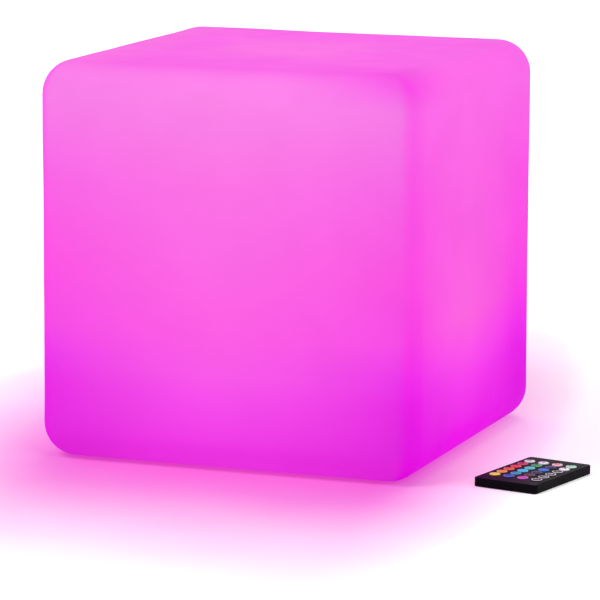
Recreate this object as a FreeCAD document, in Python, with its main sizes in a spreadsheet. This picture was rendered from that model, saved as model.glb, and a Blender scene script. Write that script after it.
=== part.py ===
"""Cube-shaped garden light with a sealed lamp base in its underside, and its hand-held remote.

Millimetres, Z up. The origin is the middle of the cube's underside and the front of the cube faces -Y.
The remote lies on the same floor, to the right of the cube. Every size is a cell of the spreadsheet, and
each piece takes its own from those cells by expression.
"""

import FreeCAD, Part
import math
import os
import re

import Sketcher
from FreeCAD import Placement, Rotation, Vector

# --------------------------------------------------------------------------------------- driving sizes

SIZES = {
    # moulded cube
    "cube_side": 300,
    "edge_radius": 26,
    "shell_wall": 3,
    "recess_depth": 8,
    "recess_lip_radius": 1.5,
    "recess_clearance": 2,
    "mouth_clearance": 3,
    "boss_radius": 7,
    "boss_height": 13,
    # screws that hold the base in, and the brass inserts they run into
    "insert_radius": 3,
    "insert_length": 8,
    "screw_inset": 8,
    "base_shank_radius": 2,
    "base_shank_length": 12,
    "base_head_radius": 3.8,
    "base_head_height": 2.2,
    "thread_clearance": 0.05,
    "hole_clearance": 0.3,
    # base tray and its gasket
    "flange_margin": 8,
    "flange_thickness": 3,
    "gasket_thickness": 1.5,
    "gasket_margin": 1.5,
    "tub_radius": 75,
    "tub_wall": 2.5,
    "tub_height": 34,
    # pocket for the controls, in the tray's underside
    "pocket_radius": 24,
    "pocket_depth": 9,
    "pocket_wall": 2.5,
    "pocket_y": -38,
    "panel_thickness": 2.5,
    # lamp cover over the base
    "dome_flange_thickness": 2.5,
    "dome_flange_width": 13,
    "dome_wall": 2,
    "dome_rise": 18,
    "dome_gasket_thickness": 1,
    "dome_screw_inset": 7,
    "dome_boss_radius": 3.8,
    "dome_shank_radius": 1.5,
    "dome_shank_length": 8,
    "dome_head_radius": 2.8,
    "dome_head_height": 1.8,
    # small screws inside the base
    "small_shank_radius": 1.25,
    "small_shank_length": 6,
    "small_head_radius": 2.4,
    "small_head_height": 1.6,
    "post_radius": 3.5,
    # light board
    "light_board_radius": 50,
    "light_board_thickness": 1.6,
    "light_post_height": 30,
    "light_post_x": 43,
    "light_post_y": 12,
    "outer_led_circle": 34,
    "inner_led_circle": 17,
    "led_side": 5,
    "led_height": 1.6,
    "receiver_width": 6,
    "receiver_depth": 4.5,
    "receiver_height": 6.5,
    "receiver_lens_radius": 2,
    "receiver_lens_proud": 1.4,
    "receiver_lens_height": 3.9,
    # control board above the pocket
    "control_board_width": 54,
    "control_board_depth": 34,
    "control_board_thickness": 1.6,
    "control_post_height": 22,
    "control_post_x": 23.6,
    "control_post_y": 13.6,
    "plug_width": 7,
    "plug_depth": 5,
    "plug_height": 5,
    "battery_plug_x": 17,
    "plug_inset": 3.2,
    "choke_radius": 4,
    "choke_height": 4,
    "choke_x": -13,
    "choke_offset": -4,
    "capacitor_radius": 2.5,
    "capacitor_height": 5,
    "capacitor_x": 14,
    "capacitor_spacing": 6.5,
    "chip_width": 6,
    "chip_depth": 5,
    "chip_height": 1.6,
    "chip_spacing": 9,
    "chip_offset": 3,
    # rechargeable cells and what holds them
    "cell_radius": 9.2,
    "cell_length": 65,
    "cell_button_radius": 3,
    "cell_button_height": 1,
    "cell_spacing": 18.8,
    "cells_y": 30,
    "cell_seat_gap": 0.2,
    "cradle_height": 5,
    "cradle_thickness": 2,
    "cradle_x": 22,
    "tab_thickness": 0.2,
    "tab_width": 7,
    "clamp_width": 16,
    "clamp_thickness": 2,
    "clamp_gap": 0.3,
    "clamp_foot_length": 9,
    "clamp_foot_height": 12,
    # leads
    "lead_radius": 0.8,
    "lead_gap": 0.05,
    "lead_run": 12,
    "ribbon_lead_radius": 0.5,
    "ribbon_pitch": 1.25,
    "ribbon_run": 8,
    "pin_radius": 0.5,
    "pin_spacing": 5.4,
    # charging socket, its nut and its rubber flap
    "socket_x": 10,
    "socket_flange_radius": 7,
    "socket_flange_thickness": 1.5,
    "socket_barrel_radius": 5.4,
    "socket_barrel_length": 13,
    "socket_bore_radius": 2.85,
    "socket_bore_depth": 9.5,
    "socket_pin_radius": 1,
    "socket_pin_recess": 2.2,
    "nut_circumradius": 8.2,
    "nut_height": 2.5,
    "flap_radius": 8.5,
    "flap_thickness": 1.6,
    "flap_gap": 0.2,
    "spigot_radius": 2.5,
    "spigot_length": 1.8,
    "flap_hinge_reach": 11,
    "strap_width": 5,
    "anchor_radius": 2,
    "anchor_head_radius": 3,
    "anchor_reach": 5,
    # power switch
    "switch_x": -11,
    "switch_flange_radius": 7.5,
    "switch_flange_thickness": 1.5,
    "switch_barrel_radius": 5.9,
    "switch_barrel_length": 13,
    "switch_chamber_radius": 5,
    "switch_lip_height": 2.5,
    "switch_cap_thickness": 1.5,
    "button_radius": 4,
    "button_clearance": 0.2,
    "button_height": 1.6,
    "button_edge_radius": 0.6,
    "button_collar_thickness": 1.2,
    "button_seat_gap": 0.05,
    "spring_radius": 3.2,
    "spring_wire_radius": 0.3,
    "spring_turns": 4,
    "spring_gap": 0.05,
    # charge indicator
    "indicator_offset": -14,
    "indicator_stem_radius": 1.5,
    "indicator_head_radius": 2.6,
    "indicator_head_height": 1,
    # remote: place on the floor and outside sizes
    "remote_x": 221,
    "remote_y": -83,
    "remote_turn": -12,
    "remote_length": 85,
    "remote_width": 52,
    "remote_corner_radius": 3,
    "remote_edge_radius": 0.7,
    "remote_wall": 1,
    "remote_floor": 0.8,
    "remote_lid": 1,
    # remote: cell, its tray and its contacts
    "coin_radius": 10,
    "coin_thickness": 2.5,
    "coin_inset": 15,
    "coin_clearance": 0.15,
    "tray_width": 24,
    "tray_length": 27,
    "tray_gap": 0.2,
    "tray_ledge": 0.4,
    "tray_ledge_width": 1.2,
    "tray_grip_width": 12,
    "tray_grip_depth": 1,
    "tray_grip_height": 0.5,
    "coin_step": 0.6,
    "coin_step_height": 0.2,
    "contact_gap": 0.05,
    "contact_thickness": 0.2,
    "contact_width": 6,
    "rail_width": 1.2,
    "remote_post_radius": 1.5,
    "remote_post_inset": 5,
    # remote: board, domes and keys
    "remote_board_thickness": 0.8,
    "remote_board_gap": 0.3,
    "snap_dome_radius": 2.8,
    "snap_dome_top_radius": 1.7,
    "snap_dome_height": 0.4,
    "key_radius": 4,
    "key_clearance": 0.15,
    "key_flange_radius": 4.6,
    "key_flange_thickness": 0.4,
    "key_gap": 0.05,
    "key_proud": 0.9,
    "key_edge_radius": 0.35,
    "key_pitch_across": 11.65,
    "key_pitch_along": 10.4,
    "key_end_margin": 16.1,
    # remote: infrared emitter in the far end
    "emitter_radius": 1.5,
    "emitter_length": 5,
    "emitter_proud": 0.9,
    "emitter_clearance": 0.1,
}

BASE_SCREWS = 8
DOME_SCREWS = 6
OUTER_LEDS = 16
INNER_LEDS = 8
RIBBON_LEADS = 5
KEY_COLUMNS = 4
ARC_SHARE = 0.45
KEY_NAMES = [
    ["brightness_up", "brightness_down", "off", "on"],
    ["red", "green", "blue", "white"],
    ["scarlet", "turquoise", "azure", "flash"],
    ["orange", "cyan", "indigo", "strobe"],
    ["amber", "teal", "plum", "fade"],
    ["yellow", "navy", "magenta", "smooth"],
]

# Radii, heights and places that several pieces share, as expressions of the cells
MOUTH_RADIUS = "(tub_radius + mouth_clearance)"
SCREW_CIRCLE = f"({MOUTH_RADIUS} + screw_inset)"
FLANGE_RADIUS = f"({SCREW_CIRCLE} + flange_margin)"
RECESS_RADIUS = f"({FLANGE_RADIUS} + recess_clearance)"
FLANGE_BOTTOM = "(recess_depth - gasket_thickness - flange_thickness)"
TRAY_FLOOR = "(recess_depth - gasket_thickness)"
TUB_TOP = f"({TRAY_FLOOR} + tub_height)"
TUB_INSIDE = "(tub_radius - tub_wall)"
PANEL_BOTTOM = f"({FLANGE_BOTTOM} + pocket_depth)"
PANEL_TOP = f"({PANEL_BOTTOM} + panel_thickness)"
DOME_SEAT = f"({TUB_TOP} + dome_gasket_thickness)"
DOME_SCREW_CIRCLE = "(tub_radius - dome_screw_inset)"
LIGHT_BOARD_BOTTOM = f"({TRAY_FLOOR} + light_post_height)"
LIGHT_BOARD_TOP = f"({LIGHT_BOARD_BOTTOM} + light_board_thickness)"
CONTROL_BOARD_BOTTOM = f"({TRAY_FLOOR} + control_post_height)"
CONTROL_BOARD_TOP = f"({CONTROL_BOARD_BOTTOM} + control_board_thickness)"
CELL_AXIS_Z = f"({TRAY_FLOOR} + cell_seat_gap + cell_radius)"
CLAMP_HALF_INSIDE = "(cell_spacing / 2 + cell_radius + clamp_gap)"
CLAMP_FOOT_TOP = f"({TRAY_FLOOR} + clamp_foot_height + clamp_thickness)"
CLAMP_SCREW_REACH = f"({CLAMP_HALF_INSIDE} + clamp_thickness + clamp_foot_length / 2)"
SOCKET_FACE = f"({PANEL_BOTTOM} - socket_flange_thickness)"
SWITCH_FACE = f"({PANEL_BOTTOM} - switch_flange_thickness)"
FLAP_TOP = f"({SOCKET_FACE} - flap_gap)"
FLAP_MIDDLE = f"({FLAP_TOP} - flap_thickness / 2)"
HINGE_Y = "(pocket_y + flap_hinge_reach)"
ANCHOR_Y = f"({HINGE_Y} + anchor_reach)"
PLUG_Y = "(pocket_y + control_board_depth / 2 - plug_inset)"
LEAD_EXIT_Y = f"({PLUG_Y} + plug_depth / 2)"
LEAD_EXIT_Z = f"({CONTROL_BOARD_TOP} + plug_height / 2)"

TRAY_BOTTOM = "(remote_floor + tray_gap)"
COIN_BOTTOM = f"({TRAY_BOTTOM} + tray_ledge)"
COIN_TOP = f"({COIN_BOTTOM} + coin_thickness)"
REMOTE_BOARD_BOTTOM = f"({COIN_TOP} + contact_gap + contact_thickness)"
REMOTE_BOARD_TOP = f"({REMOTE_BOARD_BOTTOM} + remote_board_thickness)"
KEY_FLANGE_BOTTOM = f"({REMOTE_BOARD_TOP} + snap_dome_height + key_gap)"
LID_BOTTOM = f"({KEY_FLANGE_BOTTOM} + key_flange_thickness + key_gap)"
REMOTE_TOP = f"({LID_BOTTOM} + remote_lid)"
COIN_Y = "(coin_inset - remote_length / 2)"
TRAY_BACK_Y = "(tray_length - remote_length / 2)"
EMITTER_Z = f"({LID_BOTTOM} - emitter_radius - emitter_clearance)"

doc = FreeCAD.newDocument("CubeLight")
sheet = doc.addObject("Spreadsheet::Sheet", "Sizes")
nodes = {}


# -------------------------------------------------------------------------------------- drawing helpers


def fill_sheet():
    for row, (name, value) in enumerate(SIZES.items(), 1):
        sheet.set(f"A{row}", name)
        sheet.set(f"B{row}", str(value))
        sheet.setAlias(f"B{row}", name)
    doc.recompute()


def cells(text):
    """The text as an expression, with each cell's name led by the sheet's."""
    return re.sub(r"[a-z]+(?:_[a-z]+)+", lambda m: f"Sizes.{m.group()}", str(text))


def value(text):
    """What the expression comes to now, in millimetres."""
    return float(sheet.evalExpression(cells(text)))


def bind(item, **sizes):
    for name, text in sizes.items():
        item.setExpression(name, cells(text))
    return item


def put(item, x="0", y="0", z="0"):
    for axis, text in zip("xyz", (x, y, z)):
        item.setExpression(f"Placement.Base.{axis}", cells(text))
    return item


def cylinder(name, radius, height, x="0", y="0", z="0"):
    item = doc.addObject("Part::Cylinder", name)
    return put(bind(item, Radius=radius, Height=height), x, y, z)


def lying_cylinder(name, radius, height, axis, x="0", y="0", z="0"):
    """A cylinder that starts at x, y, z and runs along axis."""
    item = doc.addObject("Part::Cylinder", name)
    item.Placement = Placement(Vector(), Rotation(Vector(0, 0, 1), axis))
    return put(bind(item, Radius=radius, Height=height), x, y, z)


def block(name, width, depth, height, x="0", y="0", z="0"):
    """A box whose base is centred on x, y and starts at z."""
    item = doc.addObject("Part::Box", name)
    bind(item, Length=width, Width=depth, Height=height)
    return put(item, f"{x} - ({width}) / 2", f"{y} - ({depth}) / 2", z)


def turned_block(name, width, depth, height, angle, radius, z):
    """A box centred at radius and angle about Z, and turned to face the middle."""
    item = doc.addObject("Part::Box", name)
    bind(item, Length=width, Width=depth, Height=height)
    item.Placement = Placement(Vector(), Rotation(Vector(0, 0, 1), angle))
    along = f"({radius} - ({width}) / 2)"
    across = f"(({depth}) / 2)"
    x = f"{along} * cos({angle}) + {across} * sin({angle})"
    y = f"{along} * sin({angle}) - {across} * cos({angle})"
    return put(item, x, y, z)


def fuse(name, *items):
    item = doc.addObject("Part::MultiFuse", name)
    item.Shapes = list(items)
    return item


def cut(name, base, *tools):
    item = doc.addObject("Part::Cut", name)
    item.Base = base
    item.Tool = tools[0] if len(tools) == 1 else fuse(name + "Tools", *tools)
    return item


def common(name, *items):
    item = doc.addObject("Part::MultiCommon", name)
    item.Shapes = list(items)
    return item


def group(name, items):
    """Separate solids that share one node."""
    item = doc.addObject("Part::Compound", name)
    item.Links = list(items)
    return item


def ring(name, outer, inner, height, x="0", y="0", z="0"):
    rim = cylinder(name + "Rim", outer, height, x, y, z)
    bore = cylinder(name + "Bore", inner, height, x, y, z)
    return cut(name, rim, bore)


def columns(name, spots, radius, height, z):
    """Upright cylinders of one size at several places."""
    return [cylinder(f"{name}{i}", radius, height, x, y, z) for i, (x, y) in enumerate(spots)]


def profile(body, name, plane, points):
    """A closed outline on one of the body's own planes, with each point's distances bound to the cells."""
    sketch = body.newObject("Sketcher::SketchObject", name)
    feature = next(f for f in body.Origin.OriginFeatures if f.Role == plane)
    sketch.AttachmentSupport = [(feature, "")]
    sketch.MapMode = "FlatFace"
    spots = [(value(a), value(b)) for a, b in points]
    count = len(points)
    for i, (a, b) in enumerate(spots):
        following = spots[(i + 1) % count]
        sketch.addGeometry(Part.LineSegment(Vector(a, b, 0), Vector(*following, 0)), False)
    for i in range(count):
        sketch.addConstraint(Sketcher.Constraint("Coincident", i, 2, (i + 1) % count, 1))
    for i, (texts, spot) in enumerate(zip(points, spots)):
        for kind, text, size in zip(("DistanceX", "DistanceY"), texts, spot):
            if size < 0:
                number = sketch.addConstraint(Sketcher.Constraint(kind, i, 1, -1, 1, -size))
                sketch.setExpression(f"Constraints[{number}]", cells(f"-({text})"))
            else:
                number = sketch.addConstraint(Sketcher.Constraint(kind, -1, 1, i, 1, size))
                sketch.setExpression(f"Constraints[{number}]", cells(text))
    return sketch


def turned(name, points, x="0", y="0", z="0"):
    """A body turned about Z from an outline of radii and heights."""
    body = doc.addObject("PartDesign::Body", name)
    sketch = profile(body, name + "Outline", "XZ_Plane", points)
    feature = body.newObject("PartDesign::Revolution", name + "Turned")
    feature.Profile = sketch
    feature.ReferenceAxis = (sketch, ["V_Axis"])
    feature.Angle = 360
    return put(body, x, y, z)


def padded(name, plane, points, length, midplane=False, x="0", y="0", z="0"):
    """A body padded from an outline on one of its planes."""
    body = doc.addObject("PartDesign::Body", name)
    sketch = profile(body, name + "Outline", plane, points)
    feature = body.newObject("PartDesign::Pad", name + "Padded")
    feature.Profile = sketch
    feature.Midplane = midplane
    bind(feature, Length=length)
    return put(body, x, y, z)


def rectangle(width, depth):
    return [
        (f"-({width}) / 2", f"-({depth}) / 2"),
        (f"({width}) / 2", f"-({depth}) / 2"),
        (f"({width}) / 2", f"({depth}) / 2"),
        (f"-({width}) / 2", f"({depth}) / 2"),
    ]


def rounded(body, radius, wanted):
    """A fillet on the edges of the body's last feature that wanted picks."""
    doc.recompute()
    base = body.Tip
    names = [f"Edge{i}" for i, edge in enumerate(base.Shape.Edges, 1) if wanted(edge)]
    feature = body.newObject("PartDesign::Fillet", f"{body.Name}Rounded{len(body.Group)}")
    feature.Base = (base, names)
    return bind(feature, Radius=radius)


def upright(edge):
    ends = [vertex.Point for vertex in edge.Vertexes]
    return len(ends) == 2 and (ends[0] - ends[1]).cross(Vector(0, 0, 1)).Length < 1e-6


def at_height(height):
    """Picks the edges that lie flat at that height."""
    return lambda edge: abs(edge.BoundBox.ZMin - height) < 1e-6 and abs(edge.BoundBox.ZMax - height) < 1e-6


def piece(item, label):
    """Keeps a finished sub-part under its node's name."""
    item.Label = label
    nodes[label] = item
    return item


def on_circle(count, radius, start=0.0):
    """Places of count things about Z, as pairs of expressions."""
    angles = [start + 360.0 * i / count for i in range(count)]
    return [(f"({radius}) * cos({a})", f"({radius}) * sin({a})") for a in angles]


def base_screw_spots():
    return on_circle(BASE_SCREWS, SCREW_CIRCLE)


def dome_screw_spots():
    return on_circle(DOME_SCREWS, DOME_SCREW_CIRCLE)


def screw(name, size, x, y, seat, points_up):
    """A pan-head screw whose head rests on the seat height. The shank runs up or down from there."""
    head_z, shank_z = (
        (f"{seat} - {size}_head_height", seat) if points_up else (seat, f"{seat} - {size}_shank_length")
    )
    return fuse(
        name,
        cylinder(name + "Head", f"{size}_head_radius", f"{size}_head_height", x, y, head_z),
        cylinder(name + "Shank", f"{size}_shank_radius", f"{size}_shank_length", x, y, shank_z),
    )


def lead(points, radius):
    """A wire through points that are expressions: straight runs joined by arcs as large as they allow."""
    spots = [Vector(*(value(text) for text in point)) for point in points]
    edges = []
    start = spots[0]
    for before, corner, after in zip(spots, spots[1:], spots[2:]):
        into = (corner - before).normalize()
        out = (after - corner).normalize()
        half_turn = into.getAngle(out) / 2
        back = ARC_SHARE * min((corner - before).Length, (after - corner).Length)
        bend = back / math.tan(half_turn)
        first = corner - into * back
        last = corner + out * back
        middle = corner + (out - into).normalize() * (bend / math.cos(half_turn) - bend)
        edges.append(Part.LineSegment(start, first).toShape())
        edges.append(Part.Arc(first, middle, last).toShape())
        start = last
        print(f"bend radius {bend:.1f}")
    edges.append(Part.LineSegment(start, spots[-1]).toShape())
    section = Part.Wire(Part.makeCircle(radius, spots[0], spots[1] - spots[0]))
    return Part.Wire(edges).makePipeShell([section], True, False)


def leads(name, shapes):
    item = doc.addObject("Part::Feature", name)
    item.Shape = Part.makeCompound(shapes)
    return item


# ----------------------------------------------------------------------------------------- moulded cube


def cube_block(name, side, radius, z):
    body = padded(name, "XY_Plane", rectangle(side, side), side, z=z)
    rounded(body, radius, lambda edge: True)
    return body


def cube_shell():
    outside = cube_block("ShellOutside", "cube_side", "edge_radius", "0")
    inner_side = "cube_side - 2 * shell_wall"
    inside = cube_block("ShellInside", inner_side, "edge_radius - shell_wall", "shell_wall")
    step = cylinder("RecessStep", f"{RECESS_RADIUS} + shell_wall", "recess_depth + shell_wall")
    bosses = columns("InsertBoss", base_screw_spots(), "boss_radius", "boss_height", "recess_depth")
    holes = columns("InsertHole", base_screw_spots(), "insert_radius", "base_shank_length", "recess_depth")
    recess = turned(
        "RecessSpace",
        [
            ("0", "0"),
            (f"{RECESS_RADIUS} + recess_lip_radius", "0"),
            (RECESS_RADIUS, "recess_lip_radius"),
            (RECESS_RADIUS, "recess_depth"),
            (MOUTH_RADIUS, "recess_depth"),
            (MOUTH_RADIUS, "recess_depth + 2 * boss_height"),
            ("0", "recess_depth + 2 * boss_height"),
        ],
    )
    hollow = cut("ShellHollow", outside, inside)
    piece(cut("CubeShell", fuse("ShellBlank", hollow, step, *bosses), recess, *holes), "cube_shell")


def shell_inserts():
    bore = "base_shank_radius + thread_clearance"
    tubes = [
        ring(f"Insert{i}", "insert_radius", bore, "insert_length", x, y, "recess_depth")
        for i, (x, y) in enumerate(base_screw_spots())
    ]
    piece(group("ShellInserts", tubes), "shell_inserts")


# -------------------------------------------------------------------------------------------- lamp base


def base_gasket():
    outer = f"{FLANGE_RADIUS} - gasket_margin"
    inner = f"{MOUTH_RADIUS} + gasket_margin"
    hoop = ring("GasketHoop", outer, inner, "gasket_thickness", z=TRAY_FLOOR)
    hole = "base_shank_radius + hole_clearance"
    holes = columns("GasketHole", base_screw_spots(), hole, "gasket_thickness", TRAY_FLOOR)
    piece(cut("BaseGasket", hoop, *holes), "base_gasket")


def light_posts():
    return [(f"{i} * light_post_x", f"{j} * light_post_y") for i in (-1, 1) for j in (-1, 1)]


def control_posts():
    return [(f"{i} * control_post_x", f"pocket_y + {j} * control_post_y") for i in (-1, 1) for j in (-1, 1)]


def clamp_posts():
    return [("0", f"cells_y + {j} * {CLAMP_SCREW_REACH}") for j in (-1, 1)]


def base_tray():
    plate = cylinder("TrayPlate", FLANGE_RADIUS, "flange_thickness", z=FLANGE_BOTTOM)
    tub = ring("TubWall", "tub_radius", TUB_INSIDE, "tub_height", z=TRAY_FLOOR)
    pocket_shell = cylinder(
        "PocketShell",
        "pocket_radius + pocket_wall",
        "pocket_depth + panel_thickness",
        y="pocket_y",
        z=FLANGE_BOTTOM,
    )
    solids = [plate, tub, pocket_shell]
    solids += columns("DomeBoss", dome_screw_spots(), "dome_boss_radius", "tub_height", TRAY_FLOOR)
    pilot = "dome_shank_radius + thread_clearance"
    pilot_z = f"{TUB_TOP} - dome_shank_length"
    holes = columns("DomePilot", dome_screw_spots(), pilot, "dome_shank_length", pilot_z)
    pilot = "small_shank_radius + thread_clearance"
    for name, spots, height in (
        ("LightPost", light_posts(), "light_post_height"),
        ("ControlPost", control_posts(), "control_post_height"),
        ("ClampPost", clamp_posts(), "clamp_foot_height"),
    ):
        pilot_z = f"{TRAY_FLOOR} + {height} - small_shank_length"
        solids += columns(name, spots, "post_radius", height, TRAY_FLOOR)
        holes += columns(name + "Pilot", spots, pilot, "small_shank_length", pilot_z)
    cradle = [
        block(
            f"Cradle{i}",
            "cradle_thickness",
            "2 * cell_spacing",
            "cradle_height",
            f"{i} * cradle_x",
            "cells_y",
            TRAY_FLOOR,
        )
        for i in (-1, 1)
    ]
    beds = [
        lying_cylinder(
            f"CellBed{i}",
            "cell_radius + cell_seat_gap",
            "cell_length",
            Vector(1, 0, 0),
            "-cell_length / 2",
            f"cells_y + {i} * cell_spacing / 2",
            CELL_AXIS_Z,
        )
        for i in (-1, 1)
    ]
    ribs = cut("CradleRibs", fuse("CradleBlank", *cradle), *beds)
    pocket = cylinder("PocketSpace", "pocket_radius", "pocket_depth", y="pocket_y", z=FLANGE_BOTTOM)
    hole = "base_shank_radius + hole_clearance"
    holes += columns("FlangeHole", base_screw_spots(), hole, "flange_thickness", FLANGE_BOTTOM)
    for name, radius, x, y in (
        ("SocketHole", "socket_barrel_radius + thread_clearance", "socket_x", "pocket_y"),
        ("SwitchHole", "switch_barrel_radius + thread_clearance", "switch_x", "pocket_y"),
        ("IndicatorHole", "indicator_stem_radius + thread_clearance", "0", "pocket_y + indicator_offset"),
        ("AnchorHole", "anchor_radius", "socket_x", ANCHOR_Y),
    ):
        holes.append(cylinder(name, radius, "panel_thickness", x, y, PANEL_BOTTOM))
    blank = fuse("TrayBlank", *solids, ribs)
    piece(cut("BaseTray", blank, pocket, *holes), "base_tray")


def base_screws():
    made = [
        screw(f"BaseScrew{i}", "base", x, y, FLANGE_BOTTOM, points_up=True)
        for i, (x, y) in enumerate(base_screw_spots())
    ]
    piece(group("BaseScrews", made), "base_screws")


def inner_screws():
    seats = [(x, y, LIGHT_BOARD_TOP) for x, y in light_posts()]
    seats += [(x, y, CONTROL_BOARD_TOP) for x, y in control_posts()]
    seats += [(x, y, CLAMP_FOOT_TOP) for x, y in clamp_posts()]
    made = [screw(f"InnerScrew{i}", "small", *seat, points_up=False) for i, seat in enumerate(seats)]
    piece(group("InnerScrews", made), "inner_screws")


def battery_cells():
    made = []
    along = Vector(1, 0, 0)
    end = "cell_length / 2"
    for i in (-1, 1):
        y = f"cells_y + {i} * cell_spacing / 2"
        can = lying_cylinder(f"CellCan{i}", "cell_radius", "cell_length", along, f"-{end}", y, CELL_AXIS_Z)
        button = lying_cylinder(
            f"CellButton{i}", "cell_button_radius", "cell_button_height", along, end, y, CELL_AXIS_Z
        )
        made.append(fuse(f"Cell{i}", can, button))
    piece(group("BatteryCells", made), "battery_cells")


def cell_tabs():
    """Welded strips across both ends of the pair: on the buttons at +X, on the cans at -X."""
    width = "cell_spacing + tab_width"
    z = f"{CELL_AXIS_Z} - tab_width / 2"
    plus_x = "cell_length / 2 + cell_button_height + tab_thickness / 2"
    minus_x = "-cell_length / 2 - tab_thickness / 2"
    plus = block("PlusTab", "tab_thickness", width, "tab_width", plus_x, "cells_y", z)
    minus = block("MinusTab", "tab_thickness", width, "tab_width", minus_x, "cells_y", z)
    piece(group("CellTabs", [plus, minus]), "cell_tabs")


def battery_clamp():
    """A hat-shaped strap over both cells, with a foot and a screw on each side."""
    inside = CLAMP_HALF_INSIDE
    outside = f"({inside} + clamp_thickness)"
    tip = f"({outside} + clamp_foot_length)"
    roof = f"({CELL_AXIS_Z} + cell_radius + clamp_gap)"
    top = f"({roof} + clamp_thickness)"
    foot = f"({TRAY_FLOOR} + clamp_foot_height)"
    right = [(tip, foot), (tip, CLAMP_FOOT_TOP), (outside, CLAMP_FOOT_TOP), (outside, top)]
    left = [(f"-{a}", b) for a, b in reversed(right)]
    under = [(f"-{inside}", foot), (f"-{inside}", roof), (inside, roof), (inside, foot)]
    outline = right + left + under
    strap = padded("ClampStrap", "YZ_Plane", outline, "clamp_width", midplane=True, y="cells_y")
    hole = "small_shank_radius + hole_clearance"
    holes = columns("ClampHole", clamp_posts(), hole, "clamp_thickness", foot)
    piece(cut("BatteryClamp", strap, *holes), "battery_clamp")


def control_board():
    board = block(
        "ControlBoardBlank",
        "control_board_width",
        "control_board_depth",
        "control_board_thickness",
        "0",
        "pocket_y",
        CONTROL_BOARD_BOTTOM,
    )
    hole = "small_shank_radius + hole_clearance"
    holes = columns("ControlHole", control_posts(), hole, "control_board_thickness", CONTROL_BOARD_BOTTOM)
    piece(cut("ControlBoard", board, *holes), "control_board")


def board_components():
    """Plugs for the leads, a choke, two capacitors and two chips."""
    z = CONTROL_BOARD_TOP
    made = []
    for i in (-1, 0, 1):
        x = f"{i} * battery_plug_x"
        made.append(block(f"Plug{i}", "plug_width", "plug_depth", "plug_height", x, PLUG_Y, z))
    y = "pocket_y + choke_offset"
    made.append(cylinder("Choke", "choke_radius", "choke_height", "choke_x", y, z))
    for i in (-1, 1):
        x = f"capacitor_x + {i} * capacitor_spacing / 2"
        made.append(cylinder(f"Capacitor{i}", "capacitor_radius", "capacitor_height", x, y, z))
    y = "pocket_y + chip_offset"
    for i in (-1, 1):
        x = f"{i} * chip_spacing / 2"
        made.append(block(f"Chip{i}", "chip_width", "chip_depth", "chip_height", x, y, z))
    piece(group("BoardComponents", made), "board_components")


def light_board():
    disc = cylinder("LightBoardDisc", "light_board_radius", "light_board_thickness", z=LIGHT_BOARD_BOTTOM)
    hole = "small_shank_radius + hole_clearance"
    holes = columns("LightHole", light_posts(), hole, "light_board_thickness", LIGHT_BOARD_BOTTOM)
    piece(cut("LightBoard", disc, *holes), "led_board")


def leds():
    made = []
    for count, circle in ((OUTER_LEDS, "outer_led_circle"), (INNER_LEDS, "inner_led_circle")):
        for i in range(count):
            angle = 360.0 * i / count
            place = (angle, circle, LIGHT_BOARD_TOP)
            made.append(turned_block(f"Led{count}x{i}", "led_side", "led_side", "led_height", *place))
    piece(group("Leds", made), "leds")


def ir_receiver():
    body = block("ReceiverBody", "receiver_width", "receiver_depth", "receiver_height", z=LIGHT_BOARD_TOP)
    reach = "receiver_depth / 2 + receiver_lens_proud"
    z = f"{LIGHT_BOARD_TOP} + receiver_lens_height"
    lens = lying_cylinder("ReceiverLens", "receiver_lens_radius", reach, Vector(0, -1, 0), z=z)
    piece(fuse("IrReceiver", body, lens), "ir_receiver")


def dome_cover():
    """Clear cover: a flat flange on the tub's rim and a shallow bowl over the light board."""
    bowl_radius = "(tub_radius - dome_flange_width)"
    sphere_radius = f"(({bowl_radius} ^ 2 + dome_rise ^ 2) / (2 * dome_rise))"
    flange_top = f"({DOME_SEAT} + dome_flange_thickness)"
    centre_z = f"({flange_top} + dome_rise - {sphere_radius})"
    flange_hole = f"{bowl_radius} - dome_wall"
    flange = ring("DomeFlange", "tub_radius", flange_hole, "dome_flange_thickness", z=DOME_SEAT)
    balls = []
    for name, radius in (("DomeOutside", sphere_radius), ("DomeInside", f"{sphere_radius} - dome_wall")):
        ball = doc.addObject("Part::Sphere", name)
        balls.append(put(bind(ball, Radius=radius), z=centre_z))
    skin = cut("DomeSkin", *balls)
    reach = cylinder("DomeReach", "tub_radius", "2 * dome_rise", z=f"{flange_top} - dome_wall")
    bowl = common("DomeBowl", skin, reach)
    hole = "dome_shank_radius + hole_clearance"
    holes = columns("DomeHole", dome_screw_spots(), hole, "dome_flange_thickness", DOME_SEAT)
    piece(cut("DomeCover", fuse("DomeBlank", flange, bowl), *holes), "dome_cover")


def dome_gasket():
    piece(ring("DomeGasket", "tub_radius", TUB_INSIDE, "dome_gasket_thickness", z=TUB_TOP), "dome_gasket")


def dome_screws():
    seat = f"({DOME_SEAT} + dome_flange_thickness)"
    made = [
        screw(f"DomeScrew{i}", "dome", x, y, seat, points_up=False)
        for i, (x, y) in enumerate(dome_screw_spots())
    ]
    piece(group("DomeScrews", made), "dome_screws")


# ------------------------------------------------------------------------------- controls in the pocket


def charge_socket():
    """Round power socket with a pin in its bore, as heights above its own face."""
    top = "socket_flange_thickness + socket_barrel_length"
    outline = [
        ("0", "socket_pin_recess"),
        ("socket_pin_radius", "socket_pin_recess"),
        ("socket_pin_radius", "socket_bore_depth"),
        ("socket_bore_radius", "socket_bore_depth"),
        ("socket_bore_radius", "0"),
        ("socket_flange_radius", "0"),
        ("socket_flange_radius", "socket_flange_thickness"),
        ("socket_barrel_radius", "socket_flange_thickness"),
        ("socket_barrel_radius", top),
        ("0", top),
    ]
    piece(turned("ChargeSocket", outline, "socket_x", "pocket_y", SOCKET_FACE), "charge_socket")


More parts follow.
